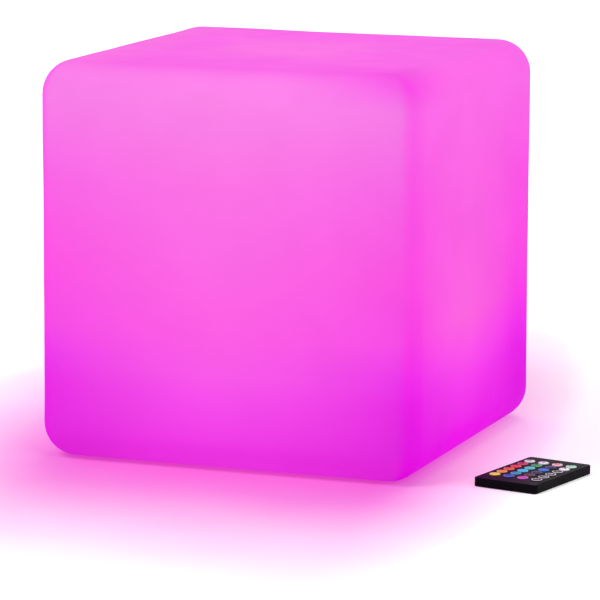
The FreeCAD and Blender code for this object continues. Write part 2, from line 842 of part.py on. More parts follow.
def switch_body():
    """Round switch housing: a lip that keeps the button in, a chamber for its collar and spring, a cap."""
    top = "switch_flange_thickness + switch_barrel_length"
    ceiling = f"{top} - switch_cap_thickness"
    mouth = "button_radius + button_clearance"
    outline = [
        (mouth, "0"),
        ("switch_flange_radius", "0"),
        ("switch_flange_radius", "switch_flange_thickness"),
        ("switch_barrel_radius", "switch_flange_thickness"),
        ("switch_barrel_radius", top),
        ("0", top),
        ("0", ceiling),
        ("switch_chamber_radius", ceiling),
        ("switch_chamber_radius", "switch_lip_height"),
        (mouth, "switch_lip_height"),
    ]
    piece(turned("SwitchBody", outline, "switch_x", "pocket_y", SWITCH_FACE), "switch_body")


def power_button():
    seat = "switch_lip_height + button_seat_gap"
    collar = "switch_chamber_radius - button_clearance"
    outline = [
        ("0", "-button_height"),
        ("button_radius", "-button_height"),
        ("button_radius", seat),
        (collar, seat),
        (collar, f"{seat} + button_collar_thickness"),
        ("0", f"{seat} + button_collar_thickness"),
    ]
    body = turned("PowerButton", outline, "switch_x", "pocket_y", SWITCH_FACE)
    rounded(body, "button_edge_radius", at_height(value("-button_height")))
    piece(body, "power_button")


def button_spring():
    """Open coil between the button's collar and the switch's cap."""
    radius = value("spring_radius")
    wire = value("spring_wire_radius")
    turns = value("spring_turns")
    clear = "spring_wire_radius + spring_gap"
    low = value(f"{SWITCH_FACE} + switch_lip_height + button_seat_gap + button_collar_thickness + {clear}")
    cap = f"{SWITCH_FACE} + switch_flange_thickness + switch_barrel_length - switch_cap_thickness"
    high = value(f"{cap} - ({clear})")
    pitch = (high - low) / turns
    path = Part.makeHelix(pitch, pitch * turns, radius)
    section = Part.Wire(Part.makeCircle(wire, Vector(radius, 0, 0), Vector(0, 2 * math.pi * radius, pitch)))
    item = doc.addObject("Part::Feature", "ButtonSpring")
    item.Shape = Part.Wire(path).makePipeShell([section], True, False)
    item.Placement = Placement(Vector(value("switch_x"), value("pocket_y"), low), Rotation())
    piece(item, "button_spring")


def panel_nuts():
    made = []
    for name, x, radius in (
        ("SocketNut", "socket_x", "socket_barrel_radius"),
        ("SwitchNut", "switch_x", "switch_barrel_radius"),
    ):
        hexagon = doc.addObject("Part::Prism", name + "Blank")
        hexagon.Polygon = 6
        bind(hexagon, Circumradius="nut_circumradius", Height="nut_height")
        put(hexagon, x, "pocket_y", PANEL_TOP)
        bore = f"{radius} + thread_clearance"
        hole = cylinder(name + "Hole", bore, "nut_height", x, "pocket_y", PANEL_TOP)
        made.append(cut(name, hexagon, hole))
    piece(group("PanelNuts", made), "panel_nuts")


def socket_flap():
    """Rubber cover of the socket: a disc with a plug for the bore, and a strap to its rounded hinge end."""
    low = f"({FLAP_TOP} - flap_thickness)"
    disc = cylinder("FlapDisc", "flap_radius", "flap_thickness", "socket_x", "pocket_y", low)
    spigot_height = "spigot_length + flap_gap"
    spigot = cylinder("FlapSpigot", "spigot_radius", spigot_height, "socket_x", "pocket_y", FLAP_TOP)
    strap_y = "pocket_y + flap_hinge_reach / 2"
    strap_size = ("strap_width", "flap_hinge_reach", "flap_thickness")
    strap = block("FlapStrap", *strap_size, "socket_x", strap_y, low)
    knuckle = lying_cylinder(
        "FlapKnuckle",
        "flap_thickness / 2",
        "strap_width",
        Vector(1, 0, 0),
        "socket_x - strap_width / 2",
        HINGE_Y,
        FLAP_MIDDLE,
    )
    piece(fuse("SocketFlap", disc, spigot, strap, knuckle), "socket_flap")


def flap_anchor():
    """The flap's fixed end: a stud pressed into the panel, and a web hollowed along the hinge line."""
    stud = cylinder("AnchorStud", "anchor_radius", "panel_thickness", "socket_x", ANCHOR_Y, PANEL_BOTTOM)
    head_z = f"({FLAP_TOP} - flap_thickness)"
    head_height = f"({PANEL_BOTTOM} - {head_z})"
    web_height = f"({PANEL_BOTTOM} - {FLAP_MIDDLE})"
    web_y = f"{HINGE_Y} + anchor_reach / 2"
    head = cylinder("AnchorHead", "anchor_head_radius", head_height, "socket_x", ANCHOR_Y, head_z)
    web = block("AnchorWeb", "strap_width", "anchor_reach", web_height, "socket_x", web_y, FLAP_MIDDLE)
    room_depth = "flap_thickness + 2 * flap_gap"
    room = lying_cylinder(
        "AnchorRoom",
        f"({room_depth}) / 2",
        "2 * strap_width",
        Vector(1, 0, 0),
        "socket_x - strap_width",
        HINGE_Y,
        FLAP_MIDDLE,
    )
    above = ("2 * strap_width", room_depth, web_height, "socket_x", HINGE_Y, FLAP_MIDDLE)
    room_above = block("AnchorRoomAbove", *above)
    piece(cut("FlapAnchor", fuse("AnchorBlank", stud, head, web), room, room_above), "flap_anchor")


def indicator_lens():
    """Light pipe from the control board down to the pocket."""
    y = "pocket_y + indicator_offset"
    head_z = f"{PANEL_BOTTOM} - indicator_head_height"
    head = cylinder("LensHead", "indicator_head_radius", "indicator_head_height", "0", y, head_z)
    stem_length = f"{CONTROL_BOARD_BOTTOM} - {PANEL_BOTTOM}"
    stem = cylinder("LensStem", "indicator_stem_radius", stem_length, "0", y, PANEL_BOTTOM)
    piece(fuse("IndicatorLens", head, stem), "indicator_lens")


def panel_leads():
    """Pins that carry the socket and the switch up to the control board."""
    made = []
    for name, x, barrel_top in (
        ("SocketPin", "socket_x", f"({PANEL_BOTTOM} + socket_barrel_length)"),
        ("SwitchPin", "switch_x", f"({PANEL_BOTTOM} + switch_barrel_length)"),
    ):
        height = f"{CONTROL_BOARD_BOTTOM} - {barrel_top}"
        for i in (-1, 1):
            pin_x = f"{x} + {i} * pin_spacing / 2"
            made.append(cylinder(f"{name}{i}", "pin_radius", height, pin_x, "pocket_y", barrel_top))
    piece(group("PanelLeads", made), "panel_leads")


def battery_leads():
    """From the tabs' outer faces up, across over the cells and into the two outer plugs."""
    made = []
    y = "cells_y - cell_spacing / 2"
    for side, tab_face in (
        (1, "cell_length / 2 + cell_button_height + tab_thickness"),
        (-1, "cell_length / 2 + tab_thickness"),
    ):
        tab_x = f"{side} * ({tab_face} + lead_gap + lead_radius)"
        plug_x = f"{side} * battery_plug_x"
        points = [
            (tab_x, y, CELL_AXIS_Z),
            (tab_x, y, LEAD_EXIT_Z),
            (plug_x, f"{LEAD_EXIT_Y} + lead_run", LEAD_EXIT_Z),
            (plug_x, LEAD_EXIT_Y, LEAD_EXIT_Z),
        ]
        made.append(lead(points, value("lead_radius")))
    piece(leads("BatteryLeads", made), "battery_leads")


def led_leads():
    """A row of thin wires from the middle plug up to the light board."""
    made = []
    middle = (RIBBON_LEADS - 1) / 2
    rise_y = f"{LEAD_EXIT_Y} + ribbon_run"
    for i in range(RIBBON_LEADS):
        x = f"{i - middle} * ribbon_pitch"
        points = [(x, LEAD_EXIT_Y, LEAD_EXIT_Z), (x, rise_y, LEAD_EXIT_Z), (x, rise_y, LIGHT_BOARD_BOTTOM)]
        made.append(lead(points, value("ribbon_lead_radius")))
    piece(leads("LedLeads", made), "led_leads")


# ----------------------------------------------------------------------------------------------- remote


def lay_remote(item, label):
    """Puts a piece that was drawn about the remote's own middle where the remote lies."""
    item.Placement = Placement(Vector(), Rotation(Vector(0, 0, 1), 1))
    item.setExpression("Placement.Rotation.Angle", cells("remote_turn"))
    put(item, "remote_x", "remote_y")
    return piece(item, label)


def key_spot(row, column):
    middle_column = (KEY_COLUMNS - 1) / 2
    x = f"{column - middle_column} * key_pitch_across"
    y = f"remote_length / 2 - key_end_margin - {row} * key_pitch_along"
    return x, y


def key_spots():
    return [key_spot(row, column) for row in range(len(KEY_NAMES)) for column in range(KEY_COLUMNS)]


def rounded_slab(name, inset, height, z):
    """A slab of the remote's plan, drawn in from its outside by inset, with its corners rounded."""
    outline = rectangle(f"remote_width - 2 * ({inset})", f"remote_length - 2 * ({inset})")
    body = padded(name, "XY_Plane", outline, height, z=z)
    rounded(body, f"remote_corner_radius - ({inset})", upright)
    return body


def case_blank(name, height, z, rim):
    """The outside of half a case, whose edge at the height rim above its own base is softened."""
    body = rounded_slab(name, "0", height, z)
    rounded(body, "remote_edge_radius", at_height(value(rim)))
    return body


def emitter_hole(name):
    """Round hole through the far end wall for the infrared emitter."""
    return lying_cylinder(
        name,
        "emitter_radius + emitter_clearance",
        "3 * remote_wall",
        Vector(0, 1, 0),
        "0",
        "remote_length / 2 - 2 * remote_wall",
        EMITTER_Z,
    )


def remote_bottom_case():
    blank = case_blank("BottomBlank", REMOTE_BOARD_BOTTOM, "0", "0")
    inside = rounded_slab("BottomInside", "remote_wall", REMOTE_BOARD_BOTTOM, "remote_floor")
    mouth = block(
        "TrayMouth",
        "tray_width + 2 * tray_gap",
        "3 * remote_wall",
        REMOTE_BOARD_BOTTOM,
        y="-remote_length / 2",
        z="remote_floor",
    )
    shell = cut("BottomShell", blank, inside, mouth, emitter_hole("BottomEmitterHole"))
    rail_height = f"{REMOTE_BOARD_BOTTOM} - remote_floor"
    rails = [
        block(
            f"TrayRail{i}",
            "rail_width",
            "tray_length - remote_wall",
            rail_height,
            f"{i} * (tray_width / 2 + tray_gap + rail_width / 2)",
            "tray_length / 2 + remote_wall / 2 - remote_length / 2",
            "remote_floor",
        )
        for i in (-1, 1)
    ]
    posts = [
        cylinder(
            f"BoardPost{i}x{j}",
            "remote_post_radius",
            rail_height,
            f"{i} * (remote_width / 2 - remote_post_inset)",
            f"{j} * (remote_length / 2 - remote_post_inset)",
            "remote_floor",
        )
        for i in (-1, 1)
        for j in (-1, 1)
    ]
    lay_remote(fuse("RemoteBottomCase", shell, *rails, *posts), "remote_bottom_case")


def remote_top_case():
    height = f"{REMOTE_TOP} - {REMOTE_BOARD_BOTTOM}"
    blank = case_blank("TopBlank", height, REMOTE_BOARD_BOTTOM, height)
    room = f"{LID_BOTTOM} - {REMOTE_BOARD_BOTTOM}"
    inside = rounded_slab("TopInside", "remote_wall", room, REMOTE_BOARD_BOTTOM)
    holes = columns("KeyHole", key_spots(), "key_radius + key_clearance", "2 * remote_lid", LID_BOTTOM)
    holes.append(emitter_hole("TopEmitterHole"))
    lay_remote(cut("RemoteTopCase", blank, inside, *holes), "remote_top_case")


def remote_board():
    inset = "remote_wall + remote_board_gap"
    board = rounded_slab("RemoteBoardBlank", inset, "remote_board_thickness", REMOTE_BOARD_BOTTOM)
    notch = block(
        "EmitterNotch",
        "2 * (emitter_radius + emitter_clearance)",
        "2 * emitter_length",
        "remote_board_thickness",
        y="remote_length / 2 - remote_wall",
        z=REMOTE_BOARD_BOTTOM,
    )
    lay_remote(cut("RemoteBoard", board, notch), "remote_board")


def remote_key_domes():
    made = []
    for i, (x, y) in enumerate(key_spots()):
        dome = doc.addObject("Part::Cone", f"SnapDome{i}")
        bind(dome, Radius1="snap_dome_radius", Radius2="snap_dome_top_radius", Height="snap_dome_height")
        made.append(put(dome, x, y, REMOTE_BOARD_TOP))
    lay_remote(group("RemoteKeyDomes", made), "remote_key_domes")


def remote_key(row, column):
    x, y = key_spot(row, column)
    name = "Key" + KEY_NAMES[row][column].title().replace("_", "")
    flange_top = f"{KEY_FLANGE_BOTTOM} + key_flange_thickness"
    top = f"{REMOTE_TOP} + key_proud"
    outline = [
        ("0", KEY_FLANGE_BOTTOM),
        ("key_flange_radius", KEY_FLANGE_BOTTOM),
        ("key_flange_radius", flange_top),
        ("key_radius", flange_top),
        ("key_radius", top),
        ("0", top),
    ]
    body = turned(name, outline)
    rounded(body, "key_edge_radius", at_height(value(top)))
    lay_remote(group(name + "Place", [put(body, x, y)]), f"key_{KEY_NAMES[row][column]}")


def remote_emitter():
    y = "remote_length / 2 + emitter_proud - emitter_radius - emitter_length"
    along = Vector(0, 1, 0)
    barrel = lying_cylinder("EmitterBarrel", "emitter_radius", "emitter_length", along, "0", y, EMITTER_Z)
    tip = doc.addObject("Part::Sphere", "EmitterTip")
    bind(tip, Radius="emitter_radius")
    put(tip, "0", f"{y} + emitter_length", EMITTER_Z)
    lay_remote(fuse("RemoteEmitter", barrel, tip), "remote_ir_emitter")


def remote_battery_tray():
    """Drawer that holds the coin cell on a ledge. Its front is flush with the case's end."""
    slab = block(
        "TraySlab",
        "tray_width",
        "tray_length",
        f"{COIN_TOP} - {TRAY_BOTTOM}",
        "0",
        "tray_length / 2 - remote_length / 2",
        TRAY_BOTTOM,
    )
    seat = cylinder("CoinSeat", "coin_radius + coin_clearance", "coin_thickness", "0", COIN_Y, COIN_BOTTOM)
    ledge_hole = "coin_radius - tray_ledge_width"
    hole = cylinder("CoinLedgeHole", ledge_hole, "tray_ledge", "0", COIN_Y, TRAY_BOTTOM)
    slot_width = "contact_width + 2 * tray_gap"
    slot = block("ContactSlot", slot_width, "coin_radius", "coin_thickness", "0", TRAY_BACK_Y, COIN_BOTTOM)
    grip_size = ("tray_grip_width", "2 * tray_grip_depth", "tray_grip_height")
    grip = block("TrayGrip", *grip_size, "0", "-remote_length / 2", TRAY_BOTTOM)
    lay_remote(cut("RemoteBatteryTray", slab, seat, hole, slot, grip), "remote_battery_tray")


def remote_coin_cell():
    can_z = f"{COIN_BOTTOM} + coin_step_height"
    can = cylinder("CoinCan", "coin_radius", "coin_thickness - coin_step_height", "0", COIN_Y, can_z)
    cap = cylinder("CoinCap", "coin_radius - coin_step", "coin_step_height", "0", COIN_Y, COIN_BOTTOM)
    lay_remote(fuse("RemoteCoinCell", can, cap), "remote_coin_cell")


def remote_contacts():
    """A strip under the board that rubs the cell's face, and one that meets its rim behind."""
    face = block(
        "FaceContact",
        "contact_width",
        "coin_radius",
        "contact_thickness",
        "0",
        COIN_Y,
        f"{REMOTE_BOARD_BOTTOM} - contact_thickness",
    )
    rim = block(
        "RimContact",
        "contact_width",
        "contact_thickness",
        f"{REMOTE_BOARD_BOTTOM} - {COIN_BOTTOM}",
        "0",
        f"{COIN_Y} + coin_radius + contact_gap + contact_thickness / 2",
        COIN_BOTTOM,
    )
    lay_remote(group("RemoteContacts", [face, rim]), "remote_contacts")


# -------------------------------------------------------------------------------------- build and write


def build():
    fill_sheet()
    for make in (
        cube_shell,
        shell_inserts,
        base_gasket,
        base_tray,
        base_screws,
        inner_screws,
        battery_cells,
        cell_tabs,
        battery_clamp,
        control_board,
        board_components,
        light_board,
        leds,
        ir_receiver,
        dome_cover,
        dome_gasket,
        dome_screws,
        charge_socket,
        switch_body,
        power_button,
        button_spring,
        panel_nuts,
        socket_flap,
        flap_anchor,
        indicator_lens,
        panel_leads,
        battery_leads,
        led_leads,
        remote_bottom_case,
        remote_top_case,
        remote_board,
        remote_key_domes,
        remote_emitter,
        remote_battery_tray,
        remote_coin_cell,
        remote_contacts,
    ):
        make()
    for row in range(len(KEY_NAMES)):
        for column in range(KEY_COLUMNS):
            remote_key(row, column)
    doc.recompute()


def sound(shape):
    return not shape.isNull() and shape.isValid() and bool(shape.Solids)


def check():
    """Stops if any object failed to compute or a sub-part isn't sound."""
    failed = [o.Name for o in doc.Objects if {"Invalid", "Error"} & set(o.State)]
    bad = [label for label, item in nodes.items() if not sound(item.Shape)]
    if failed or bad:
        raise RuntimeError(f"failed objects {failed}, unsound sub-parts {bad}")


def write():
    os.makedirs("parts", exist_ok=True)
    for label, item in nodes.items():
        item.Shape.exportStep(f"parts/{label}.step")
    print(f"{len(nodes)} sub-parts written")


build()
check()
write()
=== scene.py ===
import math

import bmesh
import bpy
from mathutils import Matrix, Vector


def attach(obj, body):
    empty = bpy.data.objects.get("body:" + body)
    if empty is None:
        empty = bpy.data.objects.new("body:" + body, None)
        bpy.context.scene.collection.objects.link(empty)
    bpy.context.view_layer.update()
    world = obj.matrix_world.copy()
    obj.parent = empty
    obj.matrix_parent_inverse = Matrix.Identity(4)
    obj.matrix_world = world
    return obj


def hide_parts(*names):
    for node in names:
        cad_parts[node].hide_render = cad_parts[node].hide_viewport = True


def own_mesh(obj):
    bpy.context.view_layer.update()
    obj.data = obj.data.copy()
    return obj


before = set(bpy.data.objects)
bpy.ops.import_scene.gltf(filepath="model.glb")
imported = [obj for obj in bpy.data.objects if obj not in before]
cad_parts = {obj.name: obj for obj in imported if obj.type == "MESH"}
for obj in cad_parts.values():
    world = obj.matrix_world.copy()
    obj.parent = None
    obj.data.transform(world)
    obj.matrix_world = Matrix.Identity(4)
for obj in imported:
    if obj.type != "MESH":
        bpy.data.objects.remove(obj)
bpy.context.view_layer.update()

# Sizes in metres. The origin is the middle of the cube's underside.
SIDE = 0.300
EDGE_RADIUS = 0.026
SHELL_WALL = 0.003
RECESS_RADIUS = 0.096
RECESS_LIP = 0.0015
SEAT_HEIGHT = 0.008
MOUTH_RADIUS = 0.078
SCREWS = 8
SCREW_CIRCLE = 0.086
BOSS_RADIUS = 0.007
BOSS_TOP = 0.021
INSERT_BORE = 0.00205

FLANGE_BOTTOM = 0.0035
SCREW_HEAD_RADIUS = 0.0038
SCREW_HEAD_BOTTOM = 0.0013
SCREW_HEAD_HEIGHT = 0.0022
SCREW_SHANK_RADIUS = 0.0020
SCREW_LENGTH = 0.0142
CROSS_LENGTH = 0.0042
CROSS_WIDTH = 0.0009
CROSS_DEPTH = 0.0012
RINGS = 4
FIRST_RING_RADIUS = 0.0670
RING_STEP = 0.0028
RING_HEIGHT = 0.0003
SWITCH_PLACE = (-0.011, -0.038)
BUTTON_RADIUS = 0.004
BUTTON_BOTTOM = 0.0094
COLLAR_RADIUS = 0.0048
COLLAR_BOTTOM = 0.01355
COLLAR_TOP = 0.01475
SPRING_TURNS = 4
SPRING_RADIUS = 0.0032
SPRING_WIRE = 0.0006
SPRING_BOTTOM = 0.0148
SPRING_TOP = 0.02395
SOCKET_PLACE = (0.010, -0.038)
FLAP_RADIUS = 0.0085
FLAP_BOTTOM = 0.0092
FLAP_TOP = 0.0108
SPIGOT_RADIUS = 0.0025
SPIGOT_LENGTH = 0.0020
RIBS = 4
RIB_STEP = 0.0014
HINGE_LINE = -0.027
STRAP_WIDTH = 0.005

REMOTE_PLACE = (0.221, -0.083)
REMOTE_TURN = math.radians(-12)
REMOTE_BOARD_TOP = 0.00495
SNAP_DOME_RADIUS = 0.0028
SNAP_DOME_HEIGHT = 0.0004
KEY_FLANGE_RADIUS = 0.0046
KEY_FLANGE_BOTTOM = 0.0054
KEY_FLANGE_TOP = 0.0058
KEY_RADIUS = 0.004
KEY_TOP = 0.00775
KEY_PITCH_ACROSS = 0.01165
KEY_PITCH_ALONG = 0.0104
FIRST_KEY_ROW = 0.0264
RIM_INSIDE = 0.0034
RIM_FOOT = 0.0070

# The camera's lens is in millimetres, and the room's light is a strength.
CAMERA_PLACE = (1.04847, -2.79378, 0.6300)
CAMERA_LENS = 236.7
LAMPS_FACE = (0.05, -0.05, 0.08)
ROOM_LIGHT = 0.42


# ---------------------------------------------------------------- camera and light


def photo_camera():
    """The camera stands in front of the cube and to its right, with a long lens; angles in radians."""
    turn, dip, roll = -0.3568, 0.1738, 0.0043
    ahead = Vector((math.sin(turn) * math.cos(dip), math.cos(turn) * math.cos(dip), -math.sin(dip)))
    right = Vector((math.cos(turn), -math.sin(turn), 0))
    up = right.cross(ahead)
    side = right * math.cos(roll) + up * math.sin(roll)
    top = up * math.cos(roll) - right * math.sin(roll)
    lens = bpy.data.cameras.new("photo_camera")
    lens.sensor_width = 36
    lens.lens = CAMERA_LENS
    lens.clip_end = 50
    camera = bpy.data.objects.new("photo_camera", lens)
    bpy.context.scene.collection.objects.link(camera)
    axes = Matrix((side, top, -ahead)).transposed()
    camera.matrix_world = Matrix.Translation(CAMERA_PLACE) @ axes.to_4x4()
    bpy.context.scene.camera = camera


def soft_lamp(name, place, size, power):
    """A square soft box that faces the object."""
    lamp = bpy.data.lights.new(name, "AREA")
    lamp.shape = "SQUARE"
    lamp.size = size
    lamp.energy = power
    holder = bpy.data.objects.new(name, lamp)
    bpy.context.scene.collection.objects.link(holder)
    holder.location = place
    facing = Vector(LAMPS_FACE) - Vector(place)
    holder.rotation_euler = facing.to_track_quat("-Z", "Y").to_euler()


def white_room():
    """White to the camera, to gloss and to glass, and a plain soft light to the rest."""
    world = bpy.data.worlds.new("white_room")
    bpy.context.scene.world = world
    world.use_nodes = True
    nodes, links = world.node_tree.nodes, world.node_tree.links
    rays = nodes.new("ShaderNodeLightPath")
    seen = nodes.new("ShaderNodeMath")
    seen.operation = "MAXIMUM"
    links.new(rays.outputs["Is Camera Ray"], seen.inputs[0])
    links.new(rays.outputs["Is Glossy Ray"], seen.inputs[1])
    through = nodes.new("ShaderNodeMath")
    through.operation = "MAXIMUM"
    links.new(seen.outputs[0], through.inputs[0])
    links.new(rays.outputs["Is Transmission Ray"], through.inputs[1])
    level = nodes.new("ShaderNodeMapRange")
    level.inputs["To Min"].default_value = ROOM_LIGHT
    level.inputs["To Max"].default_value = 1.0
    links.new(through.outputs[0], level.inputs["Value"])
    background = nodes["Background"]
    background.inputs["Color"].default_value = (1, 1, 1, 1)
    links.new(level.outputs["Result"], background.inputs["Strength"])


# ---------------------------------------------------------------- making by hand


def put_down():
    """Leaves edit mode and deselects everything."""
    if bpy.context.object and bpy.context.object.mode != "OBJECT":
        bpy.ops.object.mode_set(mode="OBJECT")
    bpy.ops.object.select_all(action="DESELECT")


def take(*pieces):
    """Selects these pieces alone; the first is the active one."""
    put_down()
    for piece in pieces:
        piece.select_set(True)
    bpy.context.view_layer.objects.active = pieces[0]


def open_up(piece):
    """Takes the piece into edit mode."""
    take(piece)
    bpy.ops.object.mode_set(mode="EDIT")


def pick(kind, wanted):
    """Selects the vertices, edges or faces of the piece in edit mode that are wanted."""
    bpy.ops.mesh.select_mode(type=kind)
    bpy.ops.mesh.select_all(action="DESELECT")
    mesh = bpy.context.edit_object.data
    shape = bmesh.from_edit_mesh(mesh)
    for item in {"VERT": shape.verts, "EDGE": shape.edges, "FACE": shape.faces}[kind]:
        if wanted(item):
            item.select_set(True)
    shape.select_flush_mode()
    bmesh.update_edit_mesh(mesh)


def middle(item):
    """The middle of an edge or a face."""
    return sum((corner.co for corner in item.verts), Vector()) / len(item.verts)


def settle(piece, angle=35):
    """Puts the piece's place into its mesh and smooths it up to an angle."""
    take(piece)
    bpy.ops.object.transform_apply(location=True, rotation=True, scale=True)
    bpy.ops.object.shade_smooth_by_angle(angle=math.radians(angle))
    put_down()


def turned(name, profile, sides=64, first_closed=True, last_closed=True, closed_ring=False):
    """A turned piece: a circle, extruded ring by ring through (radius, height)."""
    first_radius, first_height = profile[0]
    put_down()
    bpy.ops.mesh.primitive_circle_add(vertices=sides, radius=first_radius, location=(0, 0, first_height))
    piece = bpy.context.object
    piece.name = name
    bpy.ops.object.transform_apply(location=True)
    bpy.ops.object.mode_set(mode="EDIT")
    bpy.ops.mesh.select_mode(type="EDGE")
    bpy.ops.mesh.select_all(action="SELECT")
    for (radius, height), (next_radius, next_height) in zip(profile, profile[1:]):
        rise = (0, 0, next_height - height)
        bpy.ops.mesh.extrude_edges_move(TRANSFORM_OT_translate={"value": rise})
        if next_radius != radius:
            wider = next_radius / radius
            bpy.ops.transform.resize(value=(wider, wider, 1), center_override=(0, 0, next_height))
    if last_closed:
        bpy.ops.mesh.edge_face_add()
    if first_closed:

        def on_first(edge):
            point = middle(edge)
            level = abs(point.z - first_height) < 1e-7
            return edge.is_boundary and level and abs(math.hypot(point.x, point.y) / first_radius - 1) < 0.01

        pick("EDGE", on_first)
        bpy.ops.mesh.edge_face_add()
    if closed_ring:
        pick("EDGE", lambda edge: edge.is_boundary)
        bpy.ops.mesh.bridge_edge_loops()
    bpy.ops.mesh.select_all(action="SELECT")
    bpy.ops.mesh.normals_make_consistent(inside=False)
    put_down()
    return piece


def block(name, place, size):
    """A block at its place; it is shaped on or used to carve."""
    put_down()
    bpy.ops.mesh.primitive_cube_add(size=1, location=place, scale=size)
    piece = bpy.context.object
    piece.name = name
    bpy.ops.object.transform_apply(location=True, rotation=True, scale=True)
    return piece


def move(piece, place=(0, 0, 0), turn=0.0):
    """Turns the piece about the vertical and moves it, in its mesh."""
    piece.matrix_world = Matrix.Translation(Vector(place)) @ Matrix.Rotation(turn, 4, "Z")
    take(piece)
    bpy.ops.object.transform_apply(location=True, rotation=True, scale=True)
    put_down()
    return piece


def carve(piece, cutter, how="DIFFERENCE"):
    """Cuts, joins or keeps what both share, then throws the cutter away."""
    step = piece.modifiers.new("carve", "BOOLEAN")
    step.operation = how
    step.solver = "EXACT"
    step.object = cutter
    take(piece)
    bpy.ops.object.modifier_apply(modifier="carve")
    bpy.data.objects.remove(cutter)
    put_down()


def twin(piece, name, place=(0, 0, 0), turn=0.0):
    """A copy with its own mesh, set at its place."""
    take(piece)
    bpy.ops.object.duplicate(linked=False)
    copy = bpy.context.object
    copy.name = name
    return move(copy, place, turn)


def one_piece(name, pieces):
    """Joins pieces; the first gives its materials' order."""
    take(*pieces)
    bpy.ops.object.join()
    piece = bpy.context.object
    piece.name = name
    put_down()
    return piece


def around(count, radius):
    """Places at even steps on a circle."""
    for number in range(count):
        angle = math.tau * number / count
        yield radius * math.cos(angle), radius * math.sin(angle)


# ---------------------------------------------------------------- finishes


def linear(value):
    """A level as the eye reads it, 0 to 255, as an amount of light from 0 to 1."""
    value = value / 255
    return value / 12.92 if value <= 0.04045 else ((value + 0.055) / 1.055) ** 2.4


def colour(red, green, blue):
    """A colour as the eye reads it, 0 to 255, for a node's socket."""
    return (linear(red), linear(green), linear(blue), 1.0)


class Finish:
    """A material under making: its nodes and the few ways they are joined."""

    def __init__(self, name):
        self.material = bpy.data.materials.new(name)
        self.material.use_nodes = True
        self.nodes = self.material.node_tree.nodes
        self.links = self.material.node_tree.links
        self.shader = self.nodes["Principled BSDF"]
        self.spot = self.nodes.new("ShaderNodeTexCoord")

    def feed(self, value, socket):
        """Joins a node's output to the socket, or sets the socket to a number or colour."""
        if isinstance(value, bpy.types.NodeSocket):
            self.links.new(value, socket)
        else:
            socket.default_value = value

    def set(self, **values):
        """Sets the shader's own sockets, a low line in a name standing for a space."""
        for label, value in values.items():
            self.feed(value, self.shader.inputs[label.replace("_", " ")])
        return self

    def calc(self, operation, *values, clamp=False):
        node = self.nodes.new("ShaderNodeMath")
        node.operation = operation
        node.use_clamp = clamp
        for value, socket in zip(values, node.inputs):
            self.feed(value, socket)
        return node.outputs[0]

    def spread(self, value, low, high, to_low=0.0, to_high=1.0, smooth=False):
        """Low to high becomes to_low to to_high, and stays there beyond."""
        node = self.nodes.new("ShaderNodeMapRange")
        node.interpolation_type = "SMOOTHSTEP" if smooth else "LINEAR"
        for label, number in zip(("From Min", "From Max", "To Min", "To Max"), (low, high, to_low, to_high)):
            node.inputs[label].default_value = number
        self.feed(value, node.inputs["Value"])
        return node.outputs["Result"]

    def split(self, vector):
        node = self.nodes.new("ShaderNodeSeparateXYZ")
        self.links.new(vector, node.inputs[0])
        return node.outputs["X"], node.outputs["Y"], node.outputs["Z"]

    def blend(self, share, one, other, how="MIX"):
        node = self.nodes.new("ShaderNodeMix")
        node.data_type = "RGBA"
        node.blend_type = how
        self.feed(share, node.inputs["Factor"])
        self.feed(one, node.inputs[6])
        self.feed(other, node.inputs[7])
        return node.outputs[2]

    def ramp(self, value, stops):
        node = self.nodes.new("ShaderNodeValToRGB")
        band = node.color_ramp
        band.elements[0].position, band.elements[0].color = stops[0]
        band.elements[1].position, band.elements[1].color = stops[-1]
        for position, tint in stops[1:-1]:
            band.elements.new(position).color = tint
        self.feed(value, node.inputs[0])
        return node.outputs["Color"]

    def grain(self, size, detail=2.0, stretch=(1, 1, 1), shift=0.0):
        """Noise whose spots are about so large, in metres."""
        spot = self.spot.outputs["Object"]
        if stretch != (1, 1, 1) or shift:
            turn = self.nodes.new("ShaderNodeMapping")
            turn.inputs["Scale"].default_value = stretch
            turn.inputs["Location"].default_value = (shift, shift, shift)
            self.links.new(spot, turn.inputs["Vector"])
            spot = turn.outputs["Vector"]
        node = self.nodes.new("ShaderNodeTexNoise")
        node.inputs["Scale"].default_value = 1 / size
        node.inputs["Detail"].default_value = detail
        self.links.new(spot, node.inputs["Vector"])
        return node.outputs["Fac"]

    def away(self, point):
        """How far a spot is from a point of the object."""
        node = self.nodes.new("ShaderNodeVectorMath")
        node.operation = "DISTANCE"
        self.links.new(self.spot.outputs["Object"], node.inputs[0])
        node.inputs[1].default_value = point
        return node.outputs["Value"]

    def relief(self, height, depth, below=None):
        """Bumps so deep, in metres, on top of those below."""
        node = self.nodes.new("ShaderNodeBump")
        node.inputs["Distance"].default_value = depth
        self.links.new(height, node.inputs["Height"])
        if below is not None:
            self.links.new(below, node.inputs["Normal"])
        return node.outputs["Normal"]


def moulded(name, tint, deeper, roughness, grain_size=0.0008, depth=0.00004, specular=0.5, **more):
    """Moulded plastic or rubber: a fine spark texture, slow changes of tone, worn spots of gloss."""
    made = Finish(name)
    slow = made.spread(made.grain(0.02, 3), 0.35, 0.65)
    fine = made.grain(grain_size, 3, shift=0.3)
    worn = made.grain(0.006, 4, shift=1.7)
    made.set(Base_Color=made.blend(slow, tint, deeper))
    made.set(Roughness=made.spread(worn, 0.3, 0.7, roughness - 0.05, roughness + 0.07))
    made.set(Normal=made.relief(fine, depth))
    made.shader.inputs["Specular IOR Level"].default_value = specular
    return made.set(**more).material


